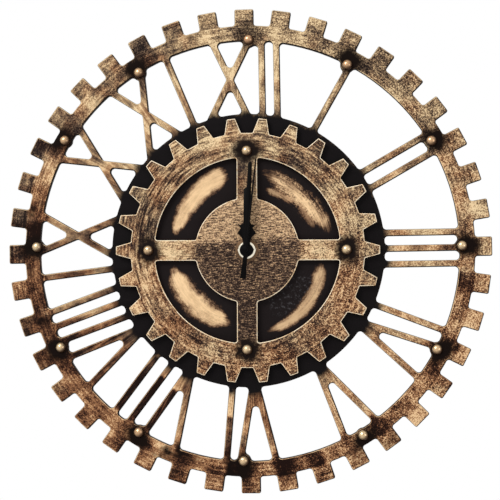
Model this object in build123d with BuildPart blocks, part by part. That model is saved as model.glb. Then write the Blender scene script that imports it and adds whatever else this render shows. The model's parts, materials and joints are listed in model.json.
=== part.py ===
"""Wall clock cut from painted board: toothed rim, open numerals, gear plate and a battery movement.

Millimetres. +Z is up and the dial faces -Y. The origin is the centre of the hanger hole, on the wall plane.
Every sketch is drawn as seen from the front, about the clock axis. "Depth" grows from the wall to the front.
"""
import os
from math import atan2, cos, degrees, pi, radians, sin

from build123d import *

os.makedirs("parts", exist_ok=True)

# Dial board: one sheet, sawn into rim, numerals and centre disc
RIM_TIP_RADIUS = 200.0
RIM_TOOTH_HEIGHT = 13.6
RIM_TOOTH_WIDTH = 15.8
RIM_TEETH = 40
RIM_BAND = 12.7
RIM_TOOTH_ROUND = 1.4
RIM_ROOT_FILLET = 2.4
NUMERAL_LENGTH = 60.7
NUMERAL_STROKE = 5.5
ROUTER_RADIUS = 3.0
BOARD_THICKNESS = 6.0
RIM_STUB = 6.5
DISC_STUB = 3.0

# Numeral glyphs: spacing of the bars at the disc and at the rim
PAIR_PITCH = 14.7
CLOSE_PAIR_PITCH = 12.3
TRIPLE_PITCH = 12.9
V_FOOT_SPREAD = 3.6
V_HEAD_SPREAD = 29.7
X_FOOT_SPREAD = 28.6
X_HEAD_SPREAD = 30.6

# Each numeral's glyphs, with degrees clockwise from the hour at the disc and at the rim
NUMERALS = {
    1: [("I", -0.2, 0.0)],
    2: [("II", 0.5, 0.6)],
    3: [("III", 0.3, 0.2)],
    4: [("I", -5.9, -6.9), ("V", 3.9, 2.8)],
    5: [("V", -0.8, -1.4)],
    6: [("V", -2.1, -2.1), ("I", 7.2, 6.6)],
    7: [("V", -3.6, -4.4), ("II", 8.2, 8.1)],
    8: [("V", -5.5, -4.8), ("III", 8.7, 9.3)],
    9: [("I", -6.8, -6.7), ("X", 6.0, 5.8)],
    10: [("X", 0.9, 1.9)],
    11: [("X", -7.0, -5.1), ("I", 7.7, 7.7)],
    12: [("X", -6.5, -3.9), ("close II", 10.4, 6.7)],
}

# Gear plate laid on the disc
GEAR_MARGIN = 4.0
GEAR_TEETH = 26
GEAR_TOOTH_HEIGHT = 12.3
GEAR_TOOTH_TIP = 6.9
GEAR_TOOTH_BASE = 13.8
GEAR_TOOTH_ROUND = 0.8
GEAR_ROOT_FILLET = 1.2
GEAR_BAND = 20.1
GEAR_HUB_RADIUS = 43.0
GEAR_SPOKE_WIDTH = 17.0
GEAR_SPOKES = 4
GEAR_WINDOW_ROUND = 1.8
GEAR_THICKNESS = 5.0
GEAR_TURN = 0.75

# Domed studs, and where each is nailed: degrees clockwise from its hour, and distance out from the rim's inner edge
STUD_RADIUS = 4.3
STUD_HEIGHT = 3.4
STUD_SKIRT = 0.6
STUD_PIN_RADIUS = 0.8
STUD_PIN_COVER = 1.0
STUD_LOBE_MARGIN = 1.7
GEAR_STUD_INSET = 5.2
RIM_STUD_SEATS = {
    1: (-0.7, -0.2),
    2: (0.3, 1.8),
    3: (-0.2, 2.1),
    4: (-1.5, 1.5),
    5: (-1.2, 5.1),
    6: (1.9, -0.1),
    7: (1.8, 1.8),
    8: (3.5, 1.8),
    9: (1.8, 2.7),
    10: (1.9, 4.8),
    11: (-0.6, 0.0),
    12: (1.2, 0.7),
}

# Movement case
HANGER_HOLE_RADIUS = 3.0
HANGER_RIM = 3.5
HANGER_THICKNESS = 2.5
HANGER_BASE_WIDTH = 22.0
CASE_WALL = 1.5
CASE_FLOOR = 1.5
CASE_ROUND = 2.5
COVER_RECESS = 2.0
COVER_THICKNESS = 1.2
COVER_FIT = 0.1
PARTITION = 1.2
POST_RADIUS = 1.2
POST_SHOULDER_RADIUS = 2.0
POST_HOLE_FIT = 0.1

# Wheel train
WHEEL_THICKNESS = 0.8
LEVEL_GAP = 0.8
PINION_OVERLAP = 0.3
TRAIN_GAP = 0.7
ARBOR_GAP = 0.4
TOOTH_ADDENDUM = 0.75
TOOTH_DEDENDUM = 1.0
TOOTH_TIP_SHARE = 0.22
TOOTH_ROOT_SHARE = 0.46
ROTOR_TEETH = 8
INTERMEDIATE_TEETH = 60
SECOND_MODULE = 0.30
INTERMEDIATE_PINION_TEETH = 12
SECOND_TEETH = 48
SECOND_PINION_TEETH = 8
THIRD_TEETH = 60
THIRD_PINION_TEETH = 8
CENTRE_TEETH = 64
MOTION_MODULE = 0.55
CANNON_TEETH = 10
MINUTE_WHEEL_TEETH = 30
MINUTE_PINION_TEETH = 8
HOUR_TEETH = 32
THIRD_DIRECTION = 150.0
INTERMEDIATE_DIRECTION = -15.0
ROTOR_DIRECTION = 40.0
MINUTE_DIRECTION = 53.0

# Arbors, pipes and bearings
PIVOT_RADIUS = 0.5
PIVOT_DEPTH = 0.7
PIVOT_END_PLAY = 0.1
RUNNING_FIT = 0.06
MINUTE_ARBOR_RADIUS = 0.8
MINUTE_PIPE_RADIUS = 1.6
HOUR_PIPE_RADIUS = 2.5
BUSH_RADIUS = 4.0
BUSH_PROUD = 0.6
BUSH_COLLAR_RADIUS = 6.0
BUSH_COLLAR_THICKNESS = 0.8
BUSH_HOLE_FIT = 0.1
PIPE_FLANGE_RADIUS = 2.6
PIPE_FLANGE_THICKNESS = 0.4
CLUTCH_RADIUS = 4.2
CLUTCH_THICKNESS = 0.25
SLIP_GAP = 0.1
KNOB_RADIUS = 4.4
KNOB_RECESS = 0.4
KNOB_RIBS = 20
KNOB_RIB_RADIUS = 0.3

# Stepper motor and circuit
MAGNET_RADIUS = 3.0
STATOR_GAP = 0.4
STATOR_SHAKE = 0.1
STATOR_BAR_HALF = 4.6
STATOR_ARM = 2.4
STATOR_REACH = 10.4
STATOR_PEG_RADIUS = 0.7
STATOR_PEG_SHOULDER = 1.4
STATOR_PEG_FIT = 0.05
CORE_WIDTH = 2.4
CORE_THICKNESS = 0.8
CORE_FIT = 0.05
COIL_TUBE_RADIUS = 1.7
COIL_RADIUS = 2.2
COIL_FLANGE_RADIUS = 2.5
COIL_FLANGE_THICKNESS = 0.6
COIL_END_GAP = 0.3
COIL_SIDE_GAP = 1.0
CIRCUIT_LENGTH = 18.0
CIRCUIT_HEIGHT = 6.6
CIRCUIT_THICKNESS = 0.8
CHIP_SIDE = 4.0
CHIP_THICKNESS = 0.9
CRYSTAL_RADIUS = 0.9
CRYSTAL_LENGTH = 6.0
CRYSTAL_SEAT = 0.05

# Battery and contacts
BATTERY_RADIUS = 7.1
BATTERY_LENGTH = 49.2
BATTERY_NUB_RADIUS = 2.75
BATTERY_NUB_LENGTH = 1.3
BATTERY_EDGE = 0.6
BATTERY_CLEARANCE = 0.4
CONTACT_THICKNESS = 0.4
CONTACT_SIDE = 10.0
CONTACT_DIMPLE_RADIUS = 2.2
CONTACT_DIMPLE = 0.4
CONTACT_LEAF = 1.0
CONTACT_LEAF_HEIGHT = 6.0
CONTACT_GAP = 0.15

# Clamping stack and hands
RUBBER_RADIUS = 11.0
RUBBER_THICKNESS = 1.0
RUBBER_FIT = 0.1
BRASS_RADIUS = 9.6
BRASS_THICKNESS = 0.7
NUT_RADIUS = 7.3
NUT_HEIGHT = 3.0
NUT_CHAMFER = 0.7
NUT_SLOT_WIDTH = 2.0
NUT_SLOT_DEPTH = 1.0
HAND_GAP = 0.6
HAND_THICKNESS = 0.6
HOUR_ANGLE = 1.4
HOUR_LENGTH = 50.0
HOUR_TIP = 1.6
HOUR_DISC_RADIUS = 5.6
HOUR_BOSS_RADIUS = 3.6
HOUR_BOSS_LENGTH = 1.6
HOUR_NECK_HALF = 2.9
HOUR_BULGE_HALF = 7.9
HOUR_NOTCH_HALF = 4.9
HOUR_BARB_HALF = 7.5
HOUR_BLADE_HALF = 2.7
HOUR_BULGE_HEIGHT = 13.5
HOUR_NOTCH_HEIGHT = 18.1
HOUR_BARB_HEIGHT = 20.9
HOUR_BLADE_HEIGHT = 23.8
MINUTE_ANGLE = 3.4
MINUTE_LENGTH = 70.5
MINUTE_TIP = 2.4
MINUTE_DISC_RADIUS = 5.2
MINUTE_BOSS_RADIUS = 2.7
MINUTE_BOSS_LENGTH = 1.4
MINUTE_ROOT_HALF = 2.1
MINUTE_END_HALF = 1.7
MINUTE_NUT_RADIUS = 2.5
MINUTE_NUT_HEIGHT = 1.0
SECOND_ANGLE = 7.1
SECOND_LENGTH = 75.0
SECOND_TAIL = 23.5
SECOND_ROOT_HALF = 0.9
SECOND_END_HALF = 0.6
SECOND_TAIL_ROOT_HALF = 1.3
SECOND_TAIL_END_HALF = 2.6
SECOND_DISC_RADIUS = 3.2
SECOND_BOSS_RADIUS = 1.5
SECOND_BOSS_LENGTH = 2.0

# Radii that follow from the board and the gear plate
RIM_ROOT_RADIUS = RIM_TIP_RADIUS - RIM_TOOTH_HEIGHT
RIM_INNER_RADIUS = RIM_ROOT_RADIUS - RIM_BAND
DISC_RADIUS = RIM_INNER_RADIUS - NUMERAL_LENGTH
STUD_LOBE_RADIUS = STUD_RADIUS + STUD_LOBE_MARGIN
RIM_CUT_RADIUS = RIM_INNER_RADIUS - RIM_STUB
DISC_CUT_RADIUS = DISC_RADIUS + DISC_STUB
GEAR_TIP_RADIUS = DISC_RADIUS - GEAR_MARGIN
GEAR_ROOT_RADIUS = GEAR_TIP_RADIUS - GEAR_TOOTH_HEIGHT
GEAR_WINDOW_RADIUS = GEAR_ROOT_RADIUS - GEAR_BAND
GEAR_STUD_CIRCLE = GEAR_WINDOW_RADIUS + GEAR_STUD_INSET

# Depths of the wheel train, from the wall to the front of the case
COVER_FRONT = COVER_RECESS + COVER_THICKNESS
LEVEL_PITCH = WHEEL_THICKNESS + LEVEL_GAP
INTERMEDIATE_LEVEL = COVER_FRONT + LEVEL_GAP
SECOND_LEVEL = INTERMEDIATE_LEVEL + LEVEL_PITCH
THIRD_LEVEL = SECOND_LEVEL + LEVEL_PITCH
BRIDGE_REAR = THIRD_LEVEL + LEVEL_PITCH
BRIDGE_FRONT = BRIDGE_REAR + WHEEL_THICKNESS
CENTRE_LEVEL = BRIDGE_REAR + LEVEL_PITCH
MOTION_LEVEL = CENTRE_LEVEL + LEVEL_PITCH
HOUR_LEVEL = MOTION_LEVEL + LEVEL_PITCH
FLOOR_REAR = HOUR_LEVEL + LEVEL_PITCH
BAY_DEPTH = 2 * (BATTERY_RADIUS + BATTERY_CLEARANCE)
CASE_FRONT = max(FLOOR_REAR, BAY_DEPTH) + CASE_FLOOR
STATOR_FRONT = THIRD_LEVEL
STATOR_REAR = SECOND_LEVEL + WHEEL_THICKNESS + PINION_OVERLAP + STATOR_SHAKE
CORE_REAR = STATOR_REAR - CORE_THICKNESS
COIL_DEPTH = STATOR_REAR - CORE_THICKNESS / 2

# Depths of the clamped stack and of the hands
BOARD_REAR = CASE_FRONT + RUBBER_THICKNESS
BOARD_FRONT = BOARD_REAR + BOARD_THICKNESS
GEAR_FRONT = BOARD_FRONT + GEAR_THICKNESS
BRASS_FRONT = GEAR_FRONT + BRASS_THICKNESS
NUT_FRONT = BRASS_FRONT + NUT_HEIGHT
BUSH_FRONT = NUT_FRONT + BUSH_PROUD
HOUR_REAR = BUSH_FRONT + HAND_GAP
HOUR_FRONT = HOUR_REAR + HOUR_BOSS_LENGTH
MINUTE_REAR = HOUR_FRONT + HAND_GAP
MINUTE_BOSS_FRONT = MINUTE_REAR + MINUTE_BOSS_LENGTH
MINUTE_FRONT = MINUTE_BOSS_FRONT + MINUTE_NUT_HEIGHT
SECOND_REAR = MINUTE_FRONT + HAND_GAP
SECOND_FRONT = SECOND_REAR + SECOND_BOSS_LENGTH


def tip_radius(teeth, module):
    """Outer radius of a train wheel."""
    return module * (teeth / 2 + TOOTH_ADDENDUM)


def spaced(start, distance, direction):
    """The point a distance away from start, at an angle from the X axis."""
    return (start[0] + distance * cos(radians(direction)), start[1] + distance * sin(radians(direction)))


def bearing(start, end):
    """Angle of the line from one arbor to another, from the X axis."""
    return degrees(atan2(end[1] - start[1], end[0] - start[0]))


# Arbor places about the clock axis
CENTRE = (0.0, 0.0)
MINUTE_DISTANCE = MOTION_MODULE * (CANNON_TEETH + MINUTE_WHEEL_TEETH) / 2
MINUTE = spaced(CENTRE, MINUTE_DISTANCE, MINUTE_DIRECTION)
CENTRE_REACH = MINUTE_DISTANCE - MINUTE_ARBOR_RADIUS - ARBOR_GAP
CENTRE_MODULE = CENTRE_REACH / (CENTRE_TEETH / 2 + TOOTH_ADDENDUM)
THIRD_DISTANCE = CENTRE_MODULE * (THIRD_PINION_TEETH + CENTRE_TEETH) / 2
THIRD_MODULE = 2 * THIRD_DISTANCE / (SECOND_PINION_TEETH + THIRD_TEETH)
THIRD = spaced(CENTRE, THIRD_DISTANCE, THIRD_DIRECTION)
INTERMEDIATE_DISTANCE = SECOND_MODULE * (INTERMEDIATE_PINION_TEETH + SECOND_TEETH) / 2
INTERMEDIATE = spaced(CENTRE, INTERMEDIATE_DISTANCE, INTERMEDIATE_DIRECTION)
INTERMEDIATE_REACH = INTERMEDIATE_DISTANCE - PIVOT_RADIUS - ARBOR_GAP
ROTOR_MODULE = INTERMEDIATE_REACH / (INTERMEDIATE_TEETH / 2 + TOOTH_ADDENDUM)
ROTOR_DISTANCE = ROTOR_MODULE * (ROTOR_TEETH + INTERMEDIATE_TEETH) / 2
ROTOR = spaced(INTERMEDIATE, ROTOR_DISTANCE, ROTOR_DIRECTION)

# Case outline, worked out from what it has to hold
MINUTE_WHEEL_TOP = MINUTE[1] + tip_radius(MINUTE_WHEEL_TEETH, MOTION_MODULE)
INTERMEDIATE_LOW = INTERMEDIATE[1] - tip_radius(INTERMEDIATE_TEETH, ROTOR_MODULE)
STATOR_X = ROTOR[0]
COIL_X = STATOR_X + STATOR_BAR_HALF + COIL_SIDE_GAP + COIL_FLANGE_RADIUS
BATTERY_SPAN = BATTERY_LENGTH + BATTERY_NUB_LENGTH + 2 * (CONTACT_THICKNESS + CONTACT_GAP)
BAY_SPAN = BATTERY_SPAN + CONTACT_DIMPLE + CONTACT_LEAF
CHAMBER_HALF = max(COIL_X + COIL_FLANGE_RADIUS + TRAIN_GAP, BAY_SPAN / 2)
CHAMBER_TOP = MINUTE_WHEEL_TOP + CIRCUIT_HEIGHT + 2 * TRAIN_GAP
CHAMBER_LOW = INTERMEDIATE_LOW - TRAIN_GAP
BAY_TOP = CHAMBER_LOW - PARTITION
BAY_LOW = BAY_TOP - 2 * (BATTERY_RADIUS + BATTERY_CLEARANCE)
CASE_HALF = CHAMBER_HALF + CASE_WALL
CASE_TOP = CHAMBER_TOP + CASE_WALL
CASE_LOW = BAY_LOW - CASE_WALL
HANGER_HEIGHT = CASE_TOP + HANGER_RIM + HANGER_HOLE_RADIUS
HANGER_TOP_RADIUS = HANGER_HOLE_RADIUS + HANGER_RIM
AXIS_Z = -HANGER_HEIGHT
POST_INSET = POST_SHOULDER_RADIUS + TRAIN_GAP
POSTS = [
    (side * (CHAMBER_HALF - POST_INSET), height)
    for side in (-1, 1)
    for height in (CHAMBER_LOW + POST_INSET, CHAMBER_TOP - POST_INSET)
]


def face_plane(depth):
    """Plane square to the clock axis, seen from the front."""
    return Plane(origin=(0, -depth, AXIS_Z), x_dir=(1, 0, 0), z_dir=(0, -1, 0))


def on_dial(angle, radius):
    """Place at a clock angle, with its Y axis pointing outwards."""
    turn = radians(angle)
    return Location((radius * sin(turn), radius * cos(turn), 0), (0, 0, -angle))


def round_bar(place, radius, rear, front, mode=Mode.ADD):
    """Round bar about an arbor place, between two depths."""
    with BuildSketch(face_plane(rear)) as section:
        with Locations(place):
            Circle(radius)
    extrude(section.sketch, amount=front - rear, mode=mode)


def block(left, right, low, high, rear, front, mode=Mode.ADD):
    """Square block between two depths."""
    with BuildSketch(face_plane(rear)) as section:
        with Locations(((left + right) / 2, (low + high) / 2)):
            Rectangle(right - left, high - low)
    extrude(section.sketch, amount=front - rear, mode=mode)


def wheel(place, teeth, module, turn, rear, front):
    """Toothed wheel with straight flanks and backlash, with one tooth at the angle turn."""
    root_radius = module * (teeth / 2 - TOOTH_DEDENDUM)
    pitch = 2 * pi / teeth
    outline = []
    for tooth in range(teeth):
        for radius, share in (
            (root_radius, -TOOTH_ROOT_SHARE),
            (tip_radius(teeth, module), -TOOTH_TIP_SHARE),
            (tip_radius(teeth, module), TOOTH_TIP_SHARE),
            (root_radius, TOOTH_ROOT_SHARE),
        ):
            angle = pitch * (tooth + share / 2)
            outline.append((radius * cos(angle), radius * sin(angle)))
    with BuildSketch(face_plane(rear)) as section:
        with Locations(Location((place[0], place[1], 0), (0, 0, turn))):
            Polygon(*outline, align=None)
    extrude(section.sketch, amount=front - rear)


def gap_turn(place, partner, teeth):
    """Turn of a pinion that shows a gap to its partner."""
    return bearing(place, partner) + 180 / teeth


def rounded(outline, inside, outside):
    """Rounds the inside and outside corners of a flat outline."""
    grown = offset(outline, inside, mode=Mode.PRIVATE)
    filled = offset(grown, -inside - outside, mode=Mode.PRIVATE)
    return offset(filled, outside, mode=Mode.PRIVATE)


def numeral_bars(hour):
    """Foot and head points of every bar of a numeral, in the frame of its hour."""
    glyphs = {
        "I": [(0.0, 0.0)],
        "II": [(side * PAIR_PITCH / 2, side * PAIR_PITCH / 2) for side in (-1, 1)],
        "close II": [(side * CLOSE_PAIR_PITCH / 2, side * CLOSE_PAIR_PITCH / 2) for side in (-1, 1)],
        "III": [(side * TRIPLE_PITCH, side * TRIPLE_PITCH) for side in (-1, 0, 1)],
        "V": [(side * V_FOOT_SPREAD / 2, side * V_HEAD_SPREAD / 2) for side in (-1, 1)],
        "X": [(side * X_FOOT_SPREAD / 2, -side * X_HEAD_SPREAD / 2) for side in (-1, 1)],
    }
    bars = []
    for glyph, foot_angle, head_angle in NUMERALS[hour]:
        foot = on_dial(foot_angle, DISC_RADIUS).position
        head = on_dial(head_angle, RIM_INNER_RADIUS).position
        for foot_shift, head_shift in glyphs[glyph]:
            bars.append((Vector(foot.X + foot_shift, foot.Y), Vector(head.X + head_shift, head.Y)))
    return bars


def bar_outline(foot, head, width):
    """Corners of one bar, run on into the disc and the rim by the width of the rim band."""
    along = (head - foot).normalized()
    across = Vector(-along.Y, along.X) * (width / 2)
    start = foot - along * RIM_BAND
    end = head + along * RIM_BAND
    return [(corner.X, corner.Y) for corner in (start + across, end + across, end - across, start - across)]


RIM_STUDS = [
    on_dial(30 * hour + lean, RIM_INNER_RADIUS + distance) for hour, (lean, distance) in RIM_STUD_SEATS.items()
]
GEAR_STUDS = [on_dial(360 / GEAR_SPOKES * spoke + GEAR_TURN, GEAR_STUD_CIRCLE) for spoke in range(GEAR_SPOKES)]

# Cut-outs between the numerals, with corners left by the router bit, or by a finer one where it can't enter
with BuildSketch() as sharp_cuts:
    Circle(RIM_INNER_RADIUS)
    Circle(DISC_RADIUS, mode=Mode.SUBTRACT)
    for hour in NUMERALS:
        with Locations(on_dial(30 * hour, 0)):
            for foot, head in numeral_bars(hour):
                Polygon(*bar_outline(foot, head, NUMERAL_STROKE), align=None, mode=Mode.SUBTRACT)
    with Locations(*RIM_STUDS):
        Circle(STUD_LOBE_RADIUS, mode=Mode.SUBTRACT)
with BuildSketch() as routed_cuts:
    for cut in sharp_cuts.faces():
        corner = min(ROUTER_RADIUS, cut.area / cut.outer_wire().length)
        for reach in offset(cut, -corner, mode=Mode.PRIVATE).faces():
            add(offset(reach, corner, mode=Mode.PRIVATE))

# Outline of the board, with square teeth
with BuildSketch() as sharp_rim:
    Circle(RIM_ROOT_RADIUS)
    with PolarLocations(RIM_ROOT_RADIUS - RIM_BAND, RIM_TEETH, start_angle=90):
        Rectangle(RIM_TOOTH_HEIGHT + RIM_BAND, RIM_TOOTH_WIDTH, align=(Align.MIN, Align.CENTER))
with BuildSketch() as board_outline:
    add(rounded(sharp_rim.sketch, RIM_ROOT_FILLET, RIM_TOOTH_ROUND))
    add(routed_cuts.sketch, mode=Mode.SUBTRACT)

# Rim: outer part of the board, with the heads of the numeral bars
with BuildPart() as rim_ring:
    with BuildSketch(face_plane(BOARD_REAR)):
        add(board_outline.sketch)
        Circle(RIM_CUT_RADIUS, mode=Mode.SUBTRACT)
    extrude(amount=BOARD_THICKNESS)
    with BuildSketch(face_plane(BOARD_REAR + STUD_PIN_COVER)):
        with Locations(*RIM_STUDS):
            Circle(STUD_PIN_RADIUS)
    extrude(amount=BOARD_THICKNESS, mode=Mode.SUBTRACT)
rim_ring.part.label = "rim_ring"
export_step(rim_ring.part, "parts/rim_ring.step")

# Numerals: the bars between the rim and the disc, one node for each hour
for hour in NUMERALS:
    with BuildPart() as numeral:
        with BuildSketch(face_plane(BOARD_REAR)):
            with Locations(on_dial(30 * hour, 0)):
                for foot, head in numeral_bars(hour):
                    Polygon(*bar_outline(foot, head, NUMERAL_STROKE + 2 * ROUTER_RADIUS), align=None)
            add(board_outline.sketch, mode=Mode.INTERSECT)
            Circle(RIM_CUT_RADIUS, mode=Mode.INTERSECT)
            Circle(DISC_CUT_RADIUS, mode=Mode.SUBTRACT)
        extrude(amount=BOARD_THICKNESS)
    numeral.part.label = f"numeral_{hour:02d}"
    export_step(numeral.part, f"parts/numeral_{hour:02d}.step")

# Centre disc: inner part of the board, with the feet of the numeral bars
with BuildPart() as centre_disc:
    with BuildSketch(face_plane(BOARD_REAR)):
        Circle(DISC_CUT_RADIUS)
        add(board_outline.sketch, mode=Mode.INTERSECT)
        Circle(BUSH_RADIUS + BUSH_HOLE_FIT, mode=Mode.SUBTRACT)
    extrude(amount=BOARD_THICKNESS)
    with BuildSketch(face_plane(BOARD_REAR + STUD_PIN_COVER)):
        with Locations(*GEAR_STUDS):
            Circle(STUD_PIN_RADIUS)
    extrude(amount=BOARD_THICKNESS, mode=Mode.SUBTRACT)
centre_disc.part.label = "centre_disc"
export_step(centre_disc.part, "parts/centre_disc.step")

# Gear plate: tapered teeth, four windows between the spokes
with BuildSketch() as sharp_gear:
    Circle(GEAR_ROOT_RADIUS)
    tooth_slope = degrees(atan2(2 * GEAR_TOOTH_HEIGHT, GEAR_TOOTH_BASE - GEAR_TOOTH_TIP))
    sunk_height = 2 * GEAR_TOOTH_HEIGHT
    sunk_base = 2 * GEAR_TOOTH_BASE - GEAR_TOOTH_TIP
    with PolarLocations(GEAR_ROOT_RADIUS - GEAR_TOOTH_HEIGHT, GEAR_TEETH, start_angle=-GEAR_TURN):
        with Locations(Location((0, 0, 0), (0, 0, -90))):
            Trapezoid(sunk_base, sunk_height, tooth_slope, align=(Align.CENTER, Align.MIN))
with BuildSketch() as sharp_windows:
    Circle(GEAR_WINDOW_RADIUS)
    Circle(GEAR_HUB_RADIUS, mode=Mode.SUBTRACT)
    with PolarLocations(0, GEAR_SPOKES, start_angle=90 - GEAR_TURN):
        Rectangle(
            GEAR_WINDOW_RADIUS + GEAR_BAND,
            GEAR_SPOKE_WIDTH,
            align=(Align.MIN, Align.CENTER),
            mode=Mode.SUBTRACT,
        )
with BuildPart() as gear_plate:
    with BuildSketch(face_plane(BOARD_FRONT)):
        add(rounded(sharp_gear.sketch, GEAR_ROOT_FILLET, GEAR_TOOTH_ROUND))
        for window in sharp_windows.faces():
            reach = offset(window, -GEAR_WINDOW_ROUND, mode=Mode.PRIVATE)
            add(offset(reach, GEAR_WINDOW_ROUND, mode=Mode.PRIVATE), mode=Mode.SUBTRACT)
        Circle(BUSH_RADIUS + BUSH_HOLE_FIT, mode=Mode.SUBTRACT)
        with Locations(*GEAR_STUDS):
            Circle(STUD_PIN_RADIUS, mode=Mode.SUBTRACT)
    extrude(amount=GEAR_THICKNESS)
gear_plate.part.label = "gear_plate"
export_step(gear_plate.part, "parts/gear_plate.step")


def stud(seat, pin_end):
    """Domed nail with its head on the depth seat and its pin down to the depth pin_end."""
    cap_radius = (STUD_RADIUS**2 + (STUD_HEIGHT - STUD_SKIRT) ** 2) / (2 * (STUD_HEIGHT - STUD_SKIRT))
    half = STUD_RADIUS / 2
    half_height = STUD_HEIGHT - cap_radius + (cap_radius**2 - half**2) ** 0.5
    with BuildPart(mode=Mode.PRIVATE) as nail:
        with BuildSketch(Plane.XZ) as profile:
            with BuildLine():
                Polyline(
                    (0, STUD_HEIGHT),
                    (0, pin_end - seat),
                    (STUD_PIN_RADIUS, pin_end - seat),
                    (STUD_PIN_RADIUS, 0),
                    (STUD_RADIUS, 0),
                    (STUD_RADIUS, STUD_SKIRT),
                )
                ThreePointArc((STUD_RADIUS, STUD_SKIRT), (half, half_height), (0, STUD_HEIGHT))
            make_face()
        revolve(profile.sketch, axis=Axis.Z)
    return nail.part


# Studs on the rim, one near each hour, and on the spokes of the gear plate
with BuildPart() as rim_studs:
    with Locations(face_plane(BOARD_FRONT)):
        with Locations(*RIM_STUDS):
            add(stud(BOARD_FRONT, BOARD_REAR + STUD_PIN_COVER))
rim_studs.part.label = "rim_studs"
export_step(rim_studs.part, "parts/rim_studs.step")
with BuildPart() as gear_studs:
    with Locations(face_plane(GEAR_FRONT)):
        with Locations(*GEAR_STUDS):
            add(stud(GEAR_FRONT, BOARD_REAR + STUD_PIN_COVER))
gear_studs.part.label = "gear_studs"
export_step(gear_studs.part, "parts/gear_studs.step")

# Case: chamber for the train, open battery bay, stepped posts and the hanger ear
with BuildPart() as movement_case:
    block(-CASE_HALF, CASE_HALF, CASE_LOW, CASE_TOP, 0, CASE_FRONT)
    fillet(movement_case.edges().filter_by(Axis.Y), CASE_ROUND)
    block(-CHAMBER_HALF, CHAMBER_HALF, CHAMBER_LOW, CHAMBER_TOP, 0, FLOOR_REAR, mode=Mode.SUBTRACT)
    block(-CHAMBER_HALF, CHAMBER_HALF, BAY_LOW, BAY_TOP, 0, BAY_DEPTH, mode=Mode.SUBTRACT)
    for post in POSTS:
        round_bar(post, POST_SHOULDER_RADIUS, BRIDGE_FRONT, FLOOR_REAR)
        round_bar(post, POST_RADIUS, COVER_FRONT, BRIDGE_FRONT)
    for arbor, radius in ((THIRD, PIVOT_RADIUS), (MINUTE, MINUTE_ARBOR_RADIUS)):
        pivot_end = FLOOR_REAR + PIVOT_DEPTH + PIVOT_END_PLAY
        round_bar(arbor, radius + RUNNING_FIT, FLOOR_REAR, pivot_end, mode=Mode.SUBTRACT)
    round_bar(CENTRE, BUSH_RADIUS, FLOOR_REAR, CASE_FRONT, mode=Mode.SUBTRACT)
    with BuildSketch(face_plane(0)) as ear:
        with BuildSketch(mode=Mode.PRIVATE) as ear_outline:
            with Locations((0, HANGER_HEIGHT)):
                Circle(HANGER_TOP_RADIUS)
            with Locations((0, CASE_TOP)):
                Rectangle(HANGER_BASE_WIDTH, CASE_WALL, align=(Align.CENTER, Align.MAX))
        make_hull(ear_outline.sketch.edges())
        with Locations((0, HANGER_HEIGHT)):
            Circle(HANGER_HOLE_RADIUS, mode=Mode.SUBTRACT)
    extrude(ear.sketch, amount=HANGER_THICKNESS)
movement_case.part.label = "movement_case"
export_step(movement_case.part, "parts/movement_case.step")

# Rear cover: closes the train chamber and carries the rear pivots
with BuildPart() as movement_cover:
    cover_half = CHAMBER_HALF - COVER_FIT
    block(
        -cover_half, cover_half, CHAMBER_LOW + COVER_FIT, CHAMBER_TOP - COVER_FIT, COVER_RECESS, COVER_FRONT
    )
    for arbor in (CENTRE, THIRD, INTERMEDIATE, ROTOR):
        pivot_end = COVER_FRONT - PIVOT_DEPTH - PIVOT_END_PLAY
        round_bar(arbor, PIVOT_RADIUS + RUNNING_FIT, pivot_end, COVER_FRONT, mode=Mode.SUBTRACT)
    round_bar(MINUTE, MINUTE_ARBOR_RADIUS + RUNNING_FIT, COVER_RECESS, COVER_FRONT, mode=Mode.SUBTRACT)
movement_cover.part.label = "movement_cover"
export_step(movement_cover.part, "parts/movement_cover.step")

# Train bridge: middle plate on the post shoulders, with pegs for the stator
STATOR_LOW = ROTOR[1] - STATOR_REACH
STATOR_HIGH = ROTOR[1] + STATOR_REACH
COIL_LOW = STATOR_LOW + STATOR_ARM + COIL_END_GAP
COIL_HIGH = STATOR_HIGH - STATOR_ARM - COIL_END_GAP
STATOR_PEGS = [(STATOR_X, height) for height in (STATOR_LOW + STATOR_ARM / 2, STATOR_HIGH - STATOR_ARM / 2)]
with BuildPart() as train_bridge:
    bridge_half = CHAMBER_HALF - TRAIN_GAP
    block(
        -bridge_half, bridge_half, CHAMBER_LOW + TRAIN_GAP, CHAMBER_TOP - TRAIN_GAP, BRIDGE_REAR, BRIDGE_FRONT
    )
    coil_side = COIL_X - COIL_FLANGE_RADIUS - TRAIN_GAP
    block(coil_side, CHAMBER_HALF, COIL_LOW, COIL_HIGH, BRIDGE_REAR, BRIDGE_FRONT, mode=Mode.SUBTRACT)
    for peg in STATOR_PEGS:
        round_bar(peg, STATOR_PEG_SHOULDER, STATOR_FRONT, BRIDGE_REAR)
        round_bar(peg, STATOR_PEG_RADIUS, STATOR_REAR, STATOR_FRONT)
    for post in POSTS:
        round_bar(post, POST_RADIUS + POST_HOLE_FIT, BRIDGE_REAR, BRIDGE_FRONT, mode=Mode.SUBTRACT)
    for arbor in (CENTRE, INTERMEDIATE, ROTOR):
        round_bar(arbor, PIVOT_RADIUS + RUNNING_FIT, BRIDGE_REAR, BRIDGE_FRONT, mode=Mode.SUBTRACT)
    third_hole = tip_radius(THIRD_PINION_TEETH, CENTRE_MODULE) + PINION_OVERLAP
    round_bar(THIRD, third_hole, BRIDGE_REAR, BRIDGE_FRONT, mode=Mode.SUBTRACT)
    round_bar(MINUTE, MINUTE_ARBOR_RADIUS + PINION_OVERLAP, BRIDGE_REAR, BRIDGE_FRONT, mode=Mode.SUBTRACT)
train_bridge.part.label = "train_bridge"
export_step(train_bridge.part, "parts/train_bridge.step")

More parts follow.
